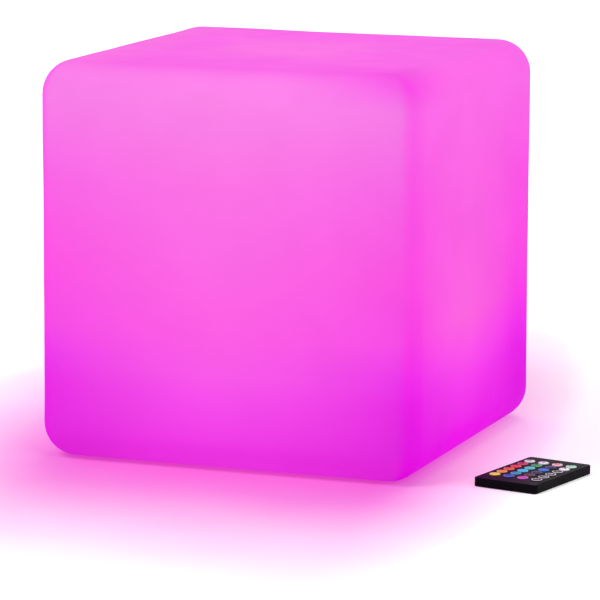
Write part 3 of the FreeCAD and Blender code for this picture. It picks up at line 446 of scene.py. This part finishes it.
def plated(name, tint, deeper, roughness, stretch=(1, 1, 9), depth=0.00001):
    """Metal: drawn or plated, with fine lines along the work and duller patches."""
    made = Finish(name)
    lines = made.grain(0.0012, 4, stretch)
    patch = made.grain(0.004, 3, shift=2.0)
    made.set(Base_Color=made.blend(made.spread(patch, 0.35, 0.65), tint, deeper), Metallic=1.0)
    made.set(Roughness=made.spread(lines, 0.3, 0.7, roughness - 0.06, roughness + 0.1))
    made.set(Normal=made.relief(lines, depth))
    return made.material


def clear(name, tint, roughness, through, frost=0.00002):
    """Clear or frosted moulding; light goes through it."""
    made = Finish(name)
    haze = made.grain(0.003, 4)
    made.set(Base_Color=tint, IOR=1.49, Transmission_Weight=through)
    made.set(Roughness=made.spread(haze, 0.3, 0.7, roughness - 0.03, roughness + 0.06))
    made.set(Normal=made.relief(made.grain(0.0007, 2, shift=0.5), frost))
    return made.material


def laminate(name, mask, track, pad):
    """Circuit board: lacquer over copper tracks, with small tinned pads."""
    made = Finish(name)
    tracks = made.nodes.new("ShaderNodeTexBrick")
    tracks.inputs["Scale"].default_value = 160
    tracks.inputs["Mortar Size"].default_value = 0.06
    tracks.offset = 0.35
    tracks.squash = 1.6
    made.links.new(made.spot.outputs["Object"], tracks.inputs["Vector"])
    dots = made.nodes.new("ShaderNodeTexVoronoi")
    dots.inputs["Scale"].default_value = 260
    dots.inputs["Randomness"].default_value = 0.55
    made.links.new(made.spot.outputs["Object"], dots.inputs["Vector"])
    tinned = made.spread(dots.outputs["Distance"], 0.16, 0.2, 1.0, 0.0)
    lacquer = made.blend(tracks.outputs["Fac"], mask, track)
    made.set(Base_Color=made.blend(tinned, lacquer, pad))
    made.set(Roughness=made.spread(tinned, 0, 1, 0.32, 0.22), Coat_Weight=0.3)
    made.set(Normal=made.relief(tracks.outputs["Fac"], 0.00003))
    return made.material


def glowing_shell():
    """Satin moulded wall lit from inside: pale at the top, deeper at the foot and the corners, with painted
    shade beside the upright edges and at the near right corner.
    """
    made = Finish("glowing_shell")
    across, along, height = made.split(made.spot.outputs["Object"])
    to_side, _, upward = made.split(made.spot.outputs["Normal"])
    level = made.calc("DIVIDE", height, SIDE)

    def lit(green, red, blue):
        """The lamp's light that leaves the wall: green as the eye reads it, red and blue as they are."""
        return (red, linear(green), blue, 1.0)

    front = made.ramp(level, [
        (0.06, lit(48, 0.62, 0.625)), (0.09, lit(57, 0.625, 0.63)), (0.19, lit(74, 0.65, 0.645)),
        (0.25, lit(86, 0.68, 0.62)), (0.35, lit(90, 0.705, 0.585)), (0.50, lit(100, 0.68, 0.575)),
        (0.70, lit(110, 0.685, 0.58)), (0.92, lit(129, 0.665, 0.595)),
    ])
    front_ends = made.ramp(level, [
        (0.06, lit(27, 0.50, 0.53)), (0.09, lit(26, 0.475, 0.53)), (0.20, lit(25, 0.52, 0.57)),
        (0.27, lit(42, 0.53, 0.615)), (0.35, lit(67, 0.63, 0.595)), (0.50, lit(73, 0.69, 0.56)),
        (0.70, lit(93, 0.655, 0.585)), (0.92, lit(122, 0.64, 0.595)),
    ])
    sides = made.ramp(level, [
        (0.07, lit(0, 0.645, 0.67)), (0.10, lit(26, 0.655, 0.675)), (0.14, lit(41, 0.655, 0.66)),
        (0.20, lit(54, 0.70, 0.685)), (0.27, lit(75, 0.74, 0.655)), (0.36, lit(94, 0.735, 0.57)),
        (0.60, lit(92, 0.705, 0.58)), (0.91, lit(103, 0.725, 0.61)),
    ])
    side_ends = made.ramp(level, [
        (0.10, lit(0, 0.545, 0.60)), (0.20, lit(0, 0.575, 0.625)), (0.27, lit(27, 0.635, 0.655)),
        (0.36, lit(50, 0.715, 0.625)), (0.50, lit(68, 0.73, 0.595)), (0.70, lit(79, 0.72, 0.605)),
        (0.91, lit(101, 0.715, 0.63)),
    ])

    # Walls: each is dimmer towards its ends, and the side walls begin halfway round the upright edges.
    off_front = made.calc("POWER", made.spread(made.calc("ABSOLUTE", across), 0.0, SIDE / 2), 1.5)
    behind = made.calc("POWER", made.spread(along, -0.03, 0.10), 1.5)
    before = made.calc("POWER", made.spread(along, -0.03, -0.13), 1.5)
    off_side = made.calc("ADD", behind, made.calc("MULTIPLY", before, 0.8))
    upright = made.calc("SQRT", made.calc("SUBTRACT", 1.0, made.calc("POWER", upward, 2.0), clamp=True))
    round_edge = made.calc("DIVIDE", made.calc("ABSOLUTE", to_side), made.calc("MAXIMUM", upright, 0.05))
    facing = made.spread(round_edge, 0.45, 0.83, smooth=True)
    facing = made.calc("MULTIPLY", facing, made.spread(upright, 0.05, 0.5))
    wall = made.blend(off_front, front, front_ends)
    wall = made.blend(facing, wall, made.blend(off_side, sides, side_ends))

    # Painted shade: a deeper line runs up beside each upright edge, where the flat wall turns into the
    # rounding.
    crease_shade = made.spread(round_edge, 0.55, 0.80)
    crease_shade = made.calc("MULTIPLY", crease_shade, made.spread(round_edge, 0.86, 1.0, 1.0, 0.0))
    crease_shade = made.calc("MULTIPLY", crease_shade, made.spread(level, 0.15, 0.45, 1.0, 0.4))
    wall = made.blend(crease_shade, wall, (0.95, 0.68, 0.96, 1), "MULTIPLY")

    # The top is brightest in its middle, and painted shade darkens the near right corner.
    off_top = made.calc("MAXIMUM", made.calc("ABSOLUTE", across), made.calc("ABSOLUTE", along))
    off_top = made.spread(off_top, 0.022, 0.09, smooth=True)
    top = made.blend(off_top, lit(109, 0.61, 0.52), lit(96, 0.59, 0.53))
    top = made.blend(made.spread(across, -0.07, -0.13), top, lit(108, 0.585, 0.49))
    wall = made.blend(made.calc("POWER", made.spread(upward, 0.55, 1.0), 2.2), wall, top)
    from_shaded_corner = made.away((SIDE / 2, -SIDE / 2, SIDE))
    corner = made.calc("POWER", made.spread(from_shaded_corner, 0.11, 0.018), 1.6)
    corner = made.calc("MULTIPLY", corner, made.spread(upward, 0.0, 0.7, 0.1, 1.0))
    wall = made.blend(corner, wall, (0.96, 0.50, 0.97, 1), "MULTIPLY")

    clouds = made.spread(made.grain(0.05, 4, shift=0.7), 0.3, 0.7, 0.97, 1.03)
    made.set(Base_Color=(0.30, 0.012, 0.22, 1.0), Emission_Color=wall, Emission_Strength=clouds)
    made.set(Roughness=made.spread(made.grain(0.03, 4), 0.3, 0.7, 0.52, 0.66))
    made.shader.inputs["Specular IOR Level"].default_value = 0.012
    skin = made.relief(made.grain(0.0009, 3), 0.00003)
    made.set(Normal=made.relief(made.grain(0.035, 2), 0.0004, below=skin))
    return made.material


def lit_floor():
    """Plain pale floor with a painted pool of the lamp's pink light near the cube, white away from it."""
    made = Finish("lit_floor")
    across, along, _ = made.split(made.spot.outputs["Object"])
    rightward = made.calc("ADD", across, made.calc("MULTIPLY", along, 0.13))
    backward = made.calc("ADD", along, made.calc("MULTIPLY", across, 0.02))

    def share(distance, start, end):
        """How far out a spot is one way, squared: 0 at the start, 1 where the glow ends."""
        out = made.calc("DIVIDE", made.calc("SUBTRACT", distance, start), end - start)
        return made.calc("POWER", made.calc("MAXIMUM", out, 0.0), 2.0)

    right, left = share(rightward, 0.098, 0.216), share(rightward, -0.119, -0.312)
    before, behind = share(backward, -0.122, -0.474), share(backward, -0.116, 0.575)
    far = made.calc("ADD", made.calc("ADD", right, left), before)
    far = made.calc("SQRT", made.calc("ADD", far, behind))
    far = made.calc("ADD", far, made.spread(made.grain(0.12, 2), 0.3, 0.7, -0.02, 0.02), clamp=True)
    # Painted light: the lamp's pink pool, its red and blue kept high where it fades, so the cube's shadow at
    # the back right stays pale.
    glow = made.ramp(far, [
        (0.0, (0.695, 0.122, 0.52, 1)), (0.12, (0.69, 0.152, 0.54, 1)), (0.22, (0.695, 0.198, 0.57, 1)),
        (0.35, (0.73, 0.293, 0.605, 1)), (0.50, (0.79, 0.42, 0.65, 1)), (0.70, (0.80, 0.56, 0.73, 1)),
        (0.88, (0.81, 0.70, 0.785, 1)), (1.0, (0.87, 0.87, 0.87, 1)),
    ])
    rays = made.nodes.new("ShaderNodeLightPath")
    seen = made.calc("MAXIMUM", rays.outputs["Is Camera Ray"], rays.outputs["Is Glossy Ray"])
    seen = made.calc("MAXIMUM", seen, rays.outputs["Is Transmission Ray"])
    own_light = made.spread(made.away((0, 0, 0)), 0.6, 2.0, 0.35, 0.9)
    made.set(Base_Color=glow, Emission_Color=glow, Emission_Strength=made.calc("MULTIPLY", seen, own_light))
    made.set(Roughness=0.9)
    made.shader.inputs["Specular IOR Level"].default_value = 0.1
    made.set(Normal=made.relief(made.grain(0.004, 3), 0.00002))
    return made.material


def key_cap(name, tint, deeper):
    """Gel key cap: clear coat over colour, with slow changes of tone."""
    made = Finish(name)
    slow = made.spread(made.grain(0.003, 2), 0.35, 0.65)
    made.set(Base_Color=made.blend(slow, tint, deeper), Coat_Weight=0.05)
    made.set(Roughness=made.spread(made.grain(0.001, 3), 0.3, 0.7, 0.26, 0.38))
    made.shader.inputs["Specular IOR Level"].default_value = 0.04
    made.set(Normal=made.relief(made.grain(0.0006, 2), 0.000008))
    made.shader.inputs["Coat Roughness"].default_value = 0.12
    return made.material


def dress(finishes):
    """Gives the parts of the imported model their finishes, by the slot that each part has."""
    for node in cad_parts.values():
        for holder in node.material_slots:
            slot = holder.material.name.split(".")[0]
            if slot in finishes:
                holder.material = finishes[slot]


def wear(piece, *materials):
    """Gives the piece these materials; its faces have the first one."""
    piece.data.materials.clear()
    for material in materials:
        piece.data.materials.append(material)


def stands_for(piece, body, slot, *nodes):
    """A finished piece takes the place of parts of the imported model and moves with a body."""
    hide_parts(*nodes)
    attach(piece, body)


# ---------------------------------------------------------------- the cube


def cube_shell(material):
    """Hollow rotationally moulded cube: soft edges, slightly uneven walls, recess and mouth below."""
    shell = block("cube_shell_moulded", (0, 0, SIDE / 2), (SIDE, SIDE, SIDE))
    open_up(shell)
    bpy.ops.mesh.select_all(action="SELECT")
    bpy.ops.mesh.bevel(offset=EDGE_RADIUS, segments=12, profile=0.5, affect="EDGES")
    # Cuts across the flat walls give them the faces that they need to be slightly uneven.
    cuts = 24
    flat = SIDE - 2 * EDGE_RADIUS
    for axis in range(3):
        for number in range(1, cuts):
            spot = [0.0, 0.0, SIDE / 2]
            spot[axis] += flat * (number / cuts - 0.5)
            direction = [0.0, 0.0, 0.0]
            direction[axis] = 1.0
            bpy.ops.mesh.select_all(action="SELECT")
            bpy.ops.mesh.bisect(plane_co=spot, plane_no=direction)
    put_down()
    uneven = shell.vertex_groups.new(name="uneven")
    even_foot = 0.03
    for corner in shell.data.vertices:
        if corner.co.z > EDGE_RADIUS:
            uneven.add([corner.index], min((corner.co.z - EDGE_RADIUS) / even_foot, 1.0), "REPLACE")
    waves = bpy.data.textures.new("waves", "CLOUDS")
    waves.noise_scale = 0.09
    waves.noise_depth = 1
    dents = shell.modifiers.new("dents", "DISPLACE")
    dents.texture = waves
    dents.texture_coords = "LOCAL"
    dents.vertex_group = "uneven"
    dents.strength = 0.0008
    dents.mid_level = 1.0
    take(shell)
    bpy.ops.object.modifier_apply(modifier="dents")
    recess = turned("recess", [
        (RECESS_RADIUS + RECESS_LIP + 0.002, -0.002),
        (RECESS_RADIUS + RECESS_LIP, 0.0),
        (RECESS_RADIUS, RECESS_LIP),
        (RECESS_RADIUS, SEAT_HEIGHT),
    ], sides=128)
    carve(shell, recess)
    open_up(shell)
    pick("FACE", lambda face: abs(middle(face).z - SEAT_HEIGHT) < 1e-5)
    bpy.ops.mesh.dissolve_faces()
    bpy.ops.mesh.inset(thickness=RECESS_RADIUS - MOUTH_RADIUS)
    bpy.ops.mesh.delete(type="FACE")
    put_down()
    wall = shell.modifiers.new("wall", "SOLIDIFY")
    wall.thickness = SHELL_WALL
    wall.offset = -1
    wall.use_even_offset = True
    take(shell)
    bpy.ops.object.modifier_apply(modifier="wall")
    boss_foot = SEAT_HEIGHT + 0.0028
    boss = turned("boss", [
        (BOSS_RADIUS + 0.001, boss_foot), (BOSS_RADIUS, SEAT_HEIGHT + 0.004),
        (BOSS_RADIUS, BOSS_TOP - 0.0006), (BOSS_RADIUS - 0.0006, BOSS_TOP),
        (INSERT_BORE, BOSS_TOP), (INSERT_BORE, boss_foot),
    ], sides=32, first_closed=False, last_closed=False, closed_ring=True)
    bosses = [twin(boss, "boss", (x, y, 0)) for x, y in around(SCREWS, SCREW_CIRCLE)]
    bpy.data.objects.remove(boss)
    shell = one_piece("cube_shell_moulded", [shell] + bosses)
    settle(shell, 40)
    wear(shell, material)
    stands_for(shell, "light", "moulded_shell", "cube_shell")


# ---------------------------------------------------------------- the lamp base


def raised_line(name, runs, thickness):
    """A mark of fine raised lines; each run is its points and whether it closes."""
    curve = bpy.data.curves.new(name, "CURVE")
    curve.dimensions = "3D"
    curve.bevel_depth = thickness / 2
    curve.bevel_resolution = 1
    curve.use_fill_caps = True
    for points, closed in runs:
        line = curve.splines.new("POLY")
        line.points.add(len(points) - 1)
        for spot, point in zip(line.points, points):
            spot.co = (*point, 1.0)
        line.use_cyclic_u = closed
    piece = bpy.data.objects.new(name, curve)
    bpy.context.scene.collection.objects.link(piece)
    take(piece)
    bpy.ops.object.convert(target="MESH")
    put_down()
    return piece


def arc(radius, first, last, height):
    """Points along an arc, from one angle to another in degrees."""
    steps = 20
    angles = [math.radians(first + (last - first) * number / steps) for number in range(steps + 1)]
    return [(radius * math.cos(angle), radius * math.sin(angle), height) for angle in angles]


def power_mark(height, thickness, size=1.0):
    """The usual ring with a bar in its gap."""
    radius = 0.00145 * size
    bar = [(0, 0.0004 * size, height), (0, 0.0019 * size, height)]
    return raised_line("power_mark", [(arc(radius, 128, 412, height), False), (bar, False)], thickness)


def base_screws(steel):
    """Pan heads with a cross recess, shanks up into the inserts."""
    low = SCREW_HEAD_BOTTOM
    seat = low + SCREW_HEAD_HEIGHT
    tip = low + SCREW_LENGTH
    screw = turned("screw", [
        (0.0010, low), (0.0024, low + 0.0001), (0.0032, low + 0.0005), (0.0037, low + 0.0011),
        (SCREW_HEAD_RADIUS, low + 0.0016), (SCREW_HEAD_RADIUS, seat), (SCREW_SHANK_RADIUS, seat),
        (SCREW_SHANK_RADIUS, tip - 0.0006), (0.0015, tip),
    ], sides=40)
    for width, depth in ((CROSS_LENGTH, CROSS_WIDTH), (CROSS_WIDTH, CROSS_LENGTH)):
        slot = block("slot", (0, 0, low), (width, depth, 2 * CROSS_DEPTH))
        open_up(slot)
        pick("FACE", lambda face: face.normal.z > 0.5)
        bpy.ops.transform.resize(value=(0.55, 0.55, 1), center_override=(0, 0, low + CROSS_DEPTH))
        carve(screw, slot)
    as_screwed_in = (0.3, 1.1, 0.7, 0.1, 1.3, 0.9, 0.5, 1.5)
    screws = [
        twin(screw, "screw", (x, y, 0), turn)
        for (x, y), turn in zip(around(SCREWS, SCREW_CIRCLE), as_screwed_in)
    ]
    bpy.data.objects.remove(screw)
    piece = one_piece("base_screws_cross", screws)
    settle(piece, 30)
    wear(piece, steel)
    stands_for(piece, "light", "screw_steel", "base_screws")


def base_rings(plastic):
    """Fine raised rings round the tray's underside, between the controls and the screws."""
    low, high = FLANGE_BOTTOM - RING_HEIGHT, FLANGE_BOTTOM + 0.0001
    rings = []
    for number in range(RINGS):
        radius = FIRST_RING_RADIUS + number * RING_STEP
        rings.append(turned("ring", [
            (radius - 0.0005, high), (radius - 0.0004, low + 0.0001), (radius - 0.0003, low),
            (radius + 0.0003, low), (radius + 0.0004, low + 0.0001), (radius + 0.0005, high),
        ], sides=144, first_closed=False, last_closed=False, closed_ring=True))
    piece = one_piece("base_rings", rings)
    settle(piece, 50)
    wear(piece, plastic)
    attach(piece, "light")


def power_button(red, white):
    """Dished push button with the power mark moulded in."""
    low = BUTTON_BOTTOM
    button = turned("power_button_dished", [
        (0.0004, low + 0.00030), (0.0014, low + 0.00026), (0.0024, low + 0.00014), (0.0030, low + 0.00003),
        (0.0033, low), (0.0036, low + 0.00008), (0.0039, low + 0.00032), (BUTTON_RADIUS, low + 0.0006),
        (BUTTON_RADIUS, COLLAR_BOTTOM), (COLLAR_RADIUS, COLLAR_BOTTOM), (COLLAR_RADIUS, COLLAR_TOP),
    ], sides=56)
    mark = power_mark(low + 0.00022, 0.00036)
    open_up(mark)
    bpy.ops.mesh.select_all(action="SELECT")
    bpy.ops.mesh.normals_make_consistent(inside=False)
    put_down()
    wear(button, red, white)
    wear(mark, red, white)
    for face in mark.data.polygons:
        face.material_index = 1
    button = one_piece("power_button_dished", [button, mark])
    move(button, (*SWITCH_PLACE, 0))
    settle(button, 40)
    stands_for(button, "power_button", "button_red", "power_button")


def return_spring(steel):
    """Open coil above the button."""
    steps = SPRING_TURNS * 32
    low, high = SPRING_BOTTOM + SPRING_WIRE / 2, SPRING_TOP - SPRING_WIRE / 2
    coil = []
    for number in range(steps + 1):
        share = number / steps
        angle = SPRING_TURNS * math.tau * share
        height = low + (high - low) * share
        coil.append((SPRING_RADIUS * math.cos(angle), SPRING_RADIUS * math.sin(angle), height))
    spring = raised_line("return_spring", [(coil, False)], SPRING_WIRE)
    wear(spring, steel)
    move(spring, (*SWITCH_PLACE, 0))
    settle(spring, 60)
    stands_for(spring, "light", "nickel", "button_spring")
    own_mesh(spring)


def socket_flap(rubber):
    """Rubber cover: rounded disc with finger ribs, a spigot for the bore and a strap to the hinge."""
    dish = FLAP_BOTTOM + 0.0004
    disc = turned("socket_flap_ribbed", [
        (0.0030, dish), (0.0060, dish), (0.0064, FLAP_BOTTOM),
        (0.0079, FLAP_BOTTOM), (0.0083, FLAP_BOTTOM + 0.00015), (FLAP_RADIUS, FLAP_BOTTOM + 0.0005),
        (FLAP_RADIUS, FLAP_TOP - 0.0004), (0.0083, FLAP_TOP - 0.0001), (0.0080, FLAP_TOP),
        (SPIGOT_RADIUS, FLAP_TOP), (SPIGOT_RADIUS, FLAP_TOP + SPIGOT_LENGTH - 0.0003),
        (SPIGOT_RADIUS - 0.0003, FLAP_TOP + SPIGOT_LENGTH),
    ], sides=72)
    reach = HINGE_LINE - SOCKET_PLACE[1]
    thick = FLAP_TOP - FLAP_BOTTOM
    strap_start = 0.007
    strap_middle = (0, (strap_start + reach) / 2, FLAP_BOTTOM + thick / 2)
    strap = block("strap", strap_middle, (STRAP_WIDTH, reach - strap_start, thick))
    open_up(strap)
    bpy.ops.mesh.select_all(action="SELECT")
    bpy.ops.mesh.bevel(offset=0.0003, segments=2, affect="EDGES")
    put_down()
    carve(disc, strap, "UNION")
    bpy.ops.mesh.primitive_cylinder_add(
        vertices=32,
        radius=thick / 2,
        depth=STRAP_WIDTH,
        location=(0, reach, FLAP_BOTTOM + thick / 2),
        rotation=(0, math.pi / 2, 0),
    )
    carve(disc, bpy.context.object, "UNION")
    for number in range(RIBS):
        rib = block("rib", (0, (number - 3) * RIB_STEP, dish), (0.0052, 0.0006, 0.0007))
        open_up(rib)
        bpy.ops.mesh.select_all(action="SELECT")
        bpy.ops.mesh.bevel(offset=0.0002, segments=2, affect="EDGES")
        put_down()
        carve(disc, rib, "UNION")
    move(disc, (*SOCKET_PLACE, 0))
    settle(disc, 35)
    wear(disc, rubber)
    stands_for(disc, "socket_flap", "seal_rubber", "socket_flap")


# ---------------------------------------------------------------- the remote's keys

WHITE_CAP, BLACK_CAP = (250, 247, 252), (16, 13, 18)
DARK_PRINT, WHITE_PRINT = (30, 24, 36), (252, 252, 254)
KEY_ROWS = [
    [
        ("brightness_up", WHITE_CAP, "bright", DARK_PRINT),
        ("brightness_down", WHITE_CAP, "dim", DARK_PRINT),
        ("off", (252, 202, 212), "power", (222, 32, 40)),
        ("on", (200, 249, 221), "power", (30, 160, 84)),
    ],
    [
        ("red", (214, 38, 84), "square", (120, 14, 40)),
        ("green", (44, 168, 98), "square", (10, 74, 44)),
        ("blue", (36, 30, 92), None, None),
        ("white", WHITE_CAP, "step", DARK_PRINT),
    ],
    [
        ("scarlet", (240, 54, 62), None, None),
        ("turquoise", (76, 204, 212), None, None),
        ("azure", (22, 100, 232), None, None),
        ("flash", BLACK_CAP, "bolt", WHITE_PRINT),
    ],
    [
        ("orange", (242, 88, 54), None, None),
        ("cyan", (56, 200, 244), None, None),
        ("indigo", (34, 28, 66), None, None),
        ("strobe", BLACK_CAP, "bars", WHITE_PRINT),
    ],
    [
        ("amber", (244, 148, 62), None, None),
        ("teal", (26, 142, 190), None, None),
        ("plum", (74, 18, 58), None, None),
        ("fade", BLACK_CAP, "wedge", WHITE_PRINT),
    ],
    [
        ("yellow", (252, 212, 76), None, None),
        ("navy", (34, 76, 178), None, None),
        ("magenta", (198, 62, 182), None, None),
        ("smooth", BLACK_CAP, "wave", WHITE_PRINT),
    ],
]


def key_mark(kind, height):
    """The mark on a key's cap, in raised lines."""

    def line(*points, closed=False):
        """One run through points in millimetres."""
        return [(x * 0.001, y * 0.001, height) for x, y in points], closed

    def rays(inner, outer):
        runs = []
        for x, y in around(8, 1.0):
            runs.append(line((x * inner, y * inner), (x * outer, y * outer)))
        return runs

    if kind == "power":
        return power_mark(height, 0.0005, 1.15)
    if kind in ("bright", "dim"):
        runs = [line(*around(14, 0.7), closed=True)] + rays(1.25, 1.9 if kind == "bright" else 1.35)
    elif kind == "square":
        runs = [line((-0.8, -0.8), (0.8, -0.8), (0.8, 0.8), (-0.8, 0.8), closed=True)]
    elif kind == "step":
        runs = [line((-1.7, -0.7), (-0.6, -0.7), (-0.6, 0.7), (0.6, 0.7), (0.6, -0.7), (1.7, -0.7))]
    elif kind == "bolt":
        runs = [line((0.6, 1.7), (-0.7, 0.0), (0.7, 0.0), (-0.6, -1.7))]
    elif kind == "bars":
        runs = [line((x - 0.3, -1.2), (x + 0.3, 1.2)) for x in (-1.2, 0.0, 1.2)]
    elif kind == "wedge":
        runs = [line((-1.8, -0.7), (1.8, -0.7), (1.8, 1.0), closed=True)]
    else:
        runs = [line(*[(x / 5, math.sin(x * 0.52)) for x in range(-9, 10)])]
    return raised_line(f"{kind}_mark", runs, 0.0004)


def paler(tint, share):
    """A tint part of the way to white."""
    return tuple(value + (255 - value) * share for value in tint)


def darker(tint, share):
    """A tint part of the way to black."""
    return tuple(value * (1 - share) for value in tint)


def key_spots():
    """Each key's entry, and its place in the remote's own frame."""
    for row, keys in enumerate(KEY_ROWS):
        for column, key in enumerate(keys):
            across = (column - (len(keys) - 1) / 2) * KEY_PITCH_ACROSS
            yield key, (across, FIRST_KEY_ROW - row * KEY_PITCH_ALONG, 0)


def lay_on_floor(piece):
    """Brings a piece from the remote's own frame to where the remote lies."""
    move(piece, (*REMOTE_PLACE, 0), REMOTE_TURN)


def gel_and_rim(name, tint):
    """A key's gel, and the paler gel of its raised rim, paler partly as a painted highlight; a black key has
    a white printed rim.
    """
    gel = key_cap(f"gel_{name}", colour(*tint), colour(*darker(tint, 0.05)))
    # A coloured key's paler rim is partly a painted highlight.
    if tint == BLACK_CAP:
        rim_tint, rim_deeper = WHITE_PRINT, darker(WHITE_PRINT, 0.08)
    else:
        rim_tint, rim_deeper = paler(tint, 0.5), paler(tint, 0.38)
    return gel, key_cap(f"rim_{name}", colour(*rim_tint), colour(*rim_deeper))


def remote_keys():
    """Gel caps, each with a raised rim around a domed middle."""
    # The flange, the wall, the rim, a groove and the dome.
    key = turned("key", [
        (KEY_FLANGE_RADIUS, KEY_FLANGE_BOTTOM), (KEY_FLANGE_RADIUS, KEY_FLANGE_TOP),
        (KEY_RADIUS, KEY_FLANGE_TOP), (KEY_RADIUS, 0.00722), (0.00393, 0.00738),
        (0.00378, 0.00746), (0.00360, 0.00746), (0.00346, 0.00738), (0.00338, 0.00732), (0.00326, 0.00748),
        (0.00304, 0.00762), (0.00270, 0.00770), (0.00210, KEY_TOP - 0.00002), (0.00120, KEY_TOP),
    ], sides=40)
    prints = {}
    for (name, tint, mark, ink), spot in key_spots():
        cap = twin(key, f"key_{name}_cap")
        gel, rim = gel_and_rim(name, tint)
        wear(cap, gel, rim)
        for face in cap.data.polygons:
            out = math.hypot(face.center.x, face.center.y)
            face.material_index = 1 if out > RIM_INSIDE and face.center.z > RIM_FOOT else 0
        if mark:
            if ink not in prints:
                prints[ink] = key_cap(f"print_{len(prints)}", colour(*ink), colour(*darker(ink, 0.1)))
            sign = key_mark(mark, KEY_TOP - 0.00004)
            wear(sign, gel, rim, prints[ink])
            cap.data.materials.append(prints[ink])
            for face in sign.data.polygons:
                face.material_index = 2
            cap = one_piece(f"key_{name}_cap", [cap, sign])
        move(cap, spot)
        lay_on_floor(cap)
        settle(cap, 30)
        stands_for(cap, f"key_{name}", f"key_{name}", f"key_{name}")
    bpy.data.objects.remove(key)


def snap_domes(steel):
    """A thin sprung dome on the board under each key."""
    low, high = REMOTE_BOARD_TOP, REMOTE_BOARD_TOP + SNAP_DOME_HEIGHT
    dome = turned("dome", [
        (SNAP_DOME_RADIUS, low), (0.0026, low + 0.00013), (0.0022, low + 0.00026), (0.0017, low + 0.00034),
        (0.0010, low + 0.00038), (0.0003, high),
    ], sides=32)
    wear(dome, steel)
    for (name, *_), spot in key_spots():
        sprung = twin(dome, f"snap_dome_{name}", spot)
        lay_on_floor(sprung)
        settle(sprung, 40)
        stands_for(sprung, "remote", "nickel", "remote_key_domes")
        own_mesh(sprung)
    bpy.data.objects.remove(dome)


# ---------------------------------------------------------------- floor


def floor():
    """A wide floor, 0.1 mm under the object."""
    put_down()
    bpy.ops.mesh.primitive_grid_add(x_subdivisions=4, y_subdivisions=4, size=16, location=(0, 0, 0))
    ground = bpy.context.object
    ground.name = "floor"
    open_up(ground)
    bpy.ops.mesh.select_all(action="SELECT")
    bpy.ops.transform.translate(value=(0, 0, -0.0001))
    put_down()
    wear(ground, lit_floor())


# ---------------------------------------------------------------- the scene

photo_camera()
white_room()
soft_lamp("lamp_left", (-1.5, -1.5, 2.4), 1.3, 42)
soft_lamp("lamp_right", (2.0, -1.4, 1.9), 1.6, 22)
soft_lamp("lamp_above", (0.1, 1.2, 2.6), 1.6, 22)
floor()

black_rubber = moulded("black_rubber", colour(32, 31, 34), colour(24, 23, 26), 0.72, 0.0006, 0.00003, 0.4)
zinc_steel = plated("zinc_steel", colour(198, 199, 202), colour(168, 170, 176), 0.28)
black_nylon = moulded("black_nylon", colour(30, 30, 33), colour(22, 22, 25), 0.38, 0.0005, 0.00002)
red_button = moulded("red_button", colour(196, 34, 40), colour(172, 24, 32), 0.28, 0.0004, 0.00001)
base_plastic = moulded("base_plastic", colour(229, 227, 231), colour(224, 222, 227), 0.5)
white_print = moulded("white_print", colour(240, 240, 242), colour(226, 226, 230), 0.4, 0.0003, 0.000005)
nickel = plated("nickel", colour(208, 206, 200), colour(182, 180, 174), 0.2)
cell_sleeve = moulded(
    "cell_sleeve", colour(28, 84, 160), colour(20, 66, 136), 0.24, 0.002, 0.00001, Coat_Weight=0.4,
)
black_package = moulded("black_package", colour(34, 34, 36), colour(26, 26, 28), 0.48, 0.0003, 0.00002)
black_film = moulded("black_film", colour(16, 11, 18), colour(10, 7, 12), 0.45, 0.0003, 0.00001, 0.025)
coin_steel = plated("coin_steel", colour(200, 200, 202), colour(190, 190, 193), 0.30, (1, 1, 1), 0.000001)
tin = colour(206, 204, 196)
dress({
    "base_plastic": base_plastic,
    "clear_cover": clear("frosted_cover", colour(244, 244, 248), 0.38, 0.85, 0.00004),
    "seal_rubber": black_rubber,
    "brass_insert": plated("brass", colour(208, 170, 96), colour(178, 140, 70), 0.26),
    "screw_steel": zinc_steel,
    "cell_wrap": cell_sleeve,
    "nickel": nickel,
    "board_laminate": laminate("green_board", colour(18, 92, 52), colour(36, 124, 74), tin),
    "light_board_laminate": laminate("white_board", colour(232, 234, 232), colour(214, 218, 216), tin),
    "component_black": black_package,
    "led_package": key_cap("silicone_lens", colour(246, 236, 200), colour(238, 224, 176)),
    "receiver_black": key_cap("window_resin", colour(30, 20, 32), colour(22, 14, 24)),
    "lead_red": moulded("red_wire", colour(180, 32, 34), colour(160, 24, 28), 0.42, 0.0008, 0.00001),
    "lead_grey": moulded("grey_wire", colour(176, 178, 182), colour(160, 162, 168), 0.42, 0.0008, 0.00001),
    "switch_black": black_nylon,
    "light_pipe": clear("light_pipe", colour(222, 246, 226), 0.08, 0.9),
    "remote_case": black_film,
    "coin_steel": coin_steel,
    "emitter_resin": clear("emitter_resin", colour(204, 214, 246), 0.05, 0.9),
})
cube_shell(glowing_shell())
base_screws(zinc_steel)
base_rings(base_plastic)
power_button(red_button, white_print)
return_spring(nickel)
socket_flap(black_rubber)
remote_keys()
snap_domes(nickel)

bpy.context.scene.view_settings.view_transform = "Standard"
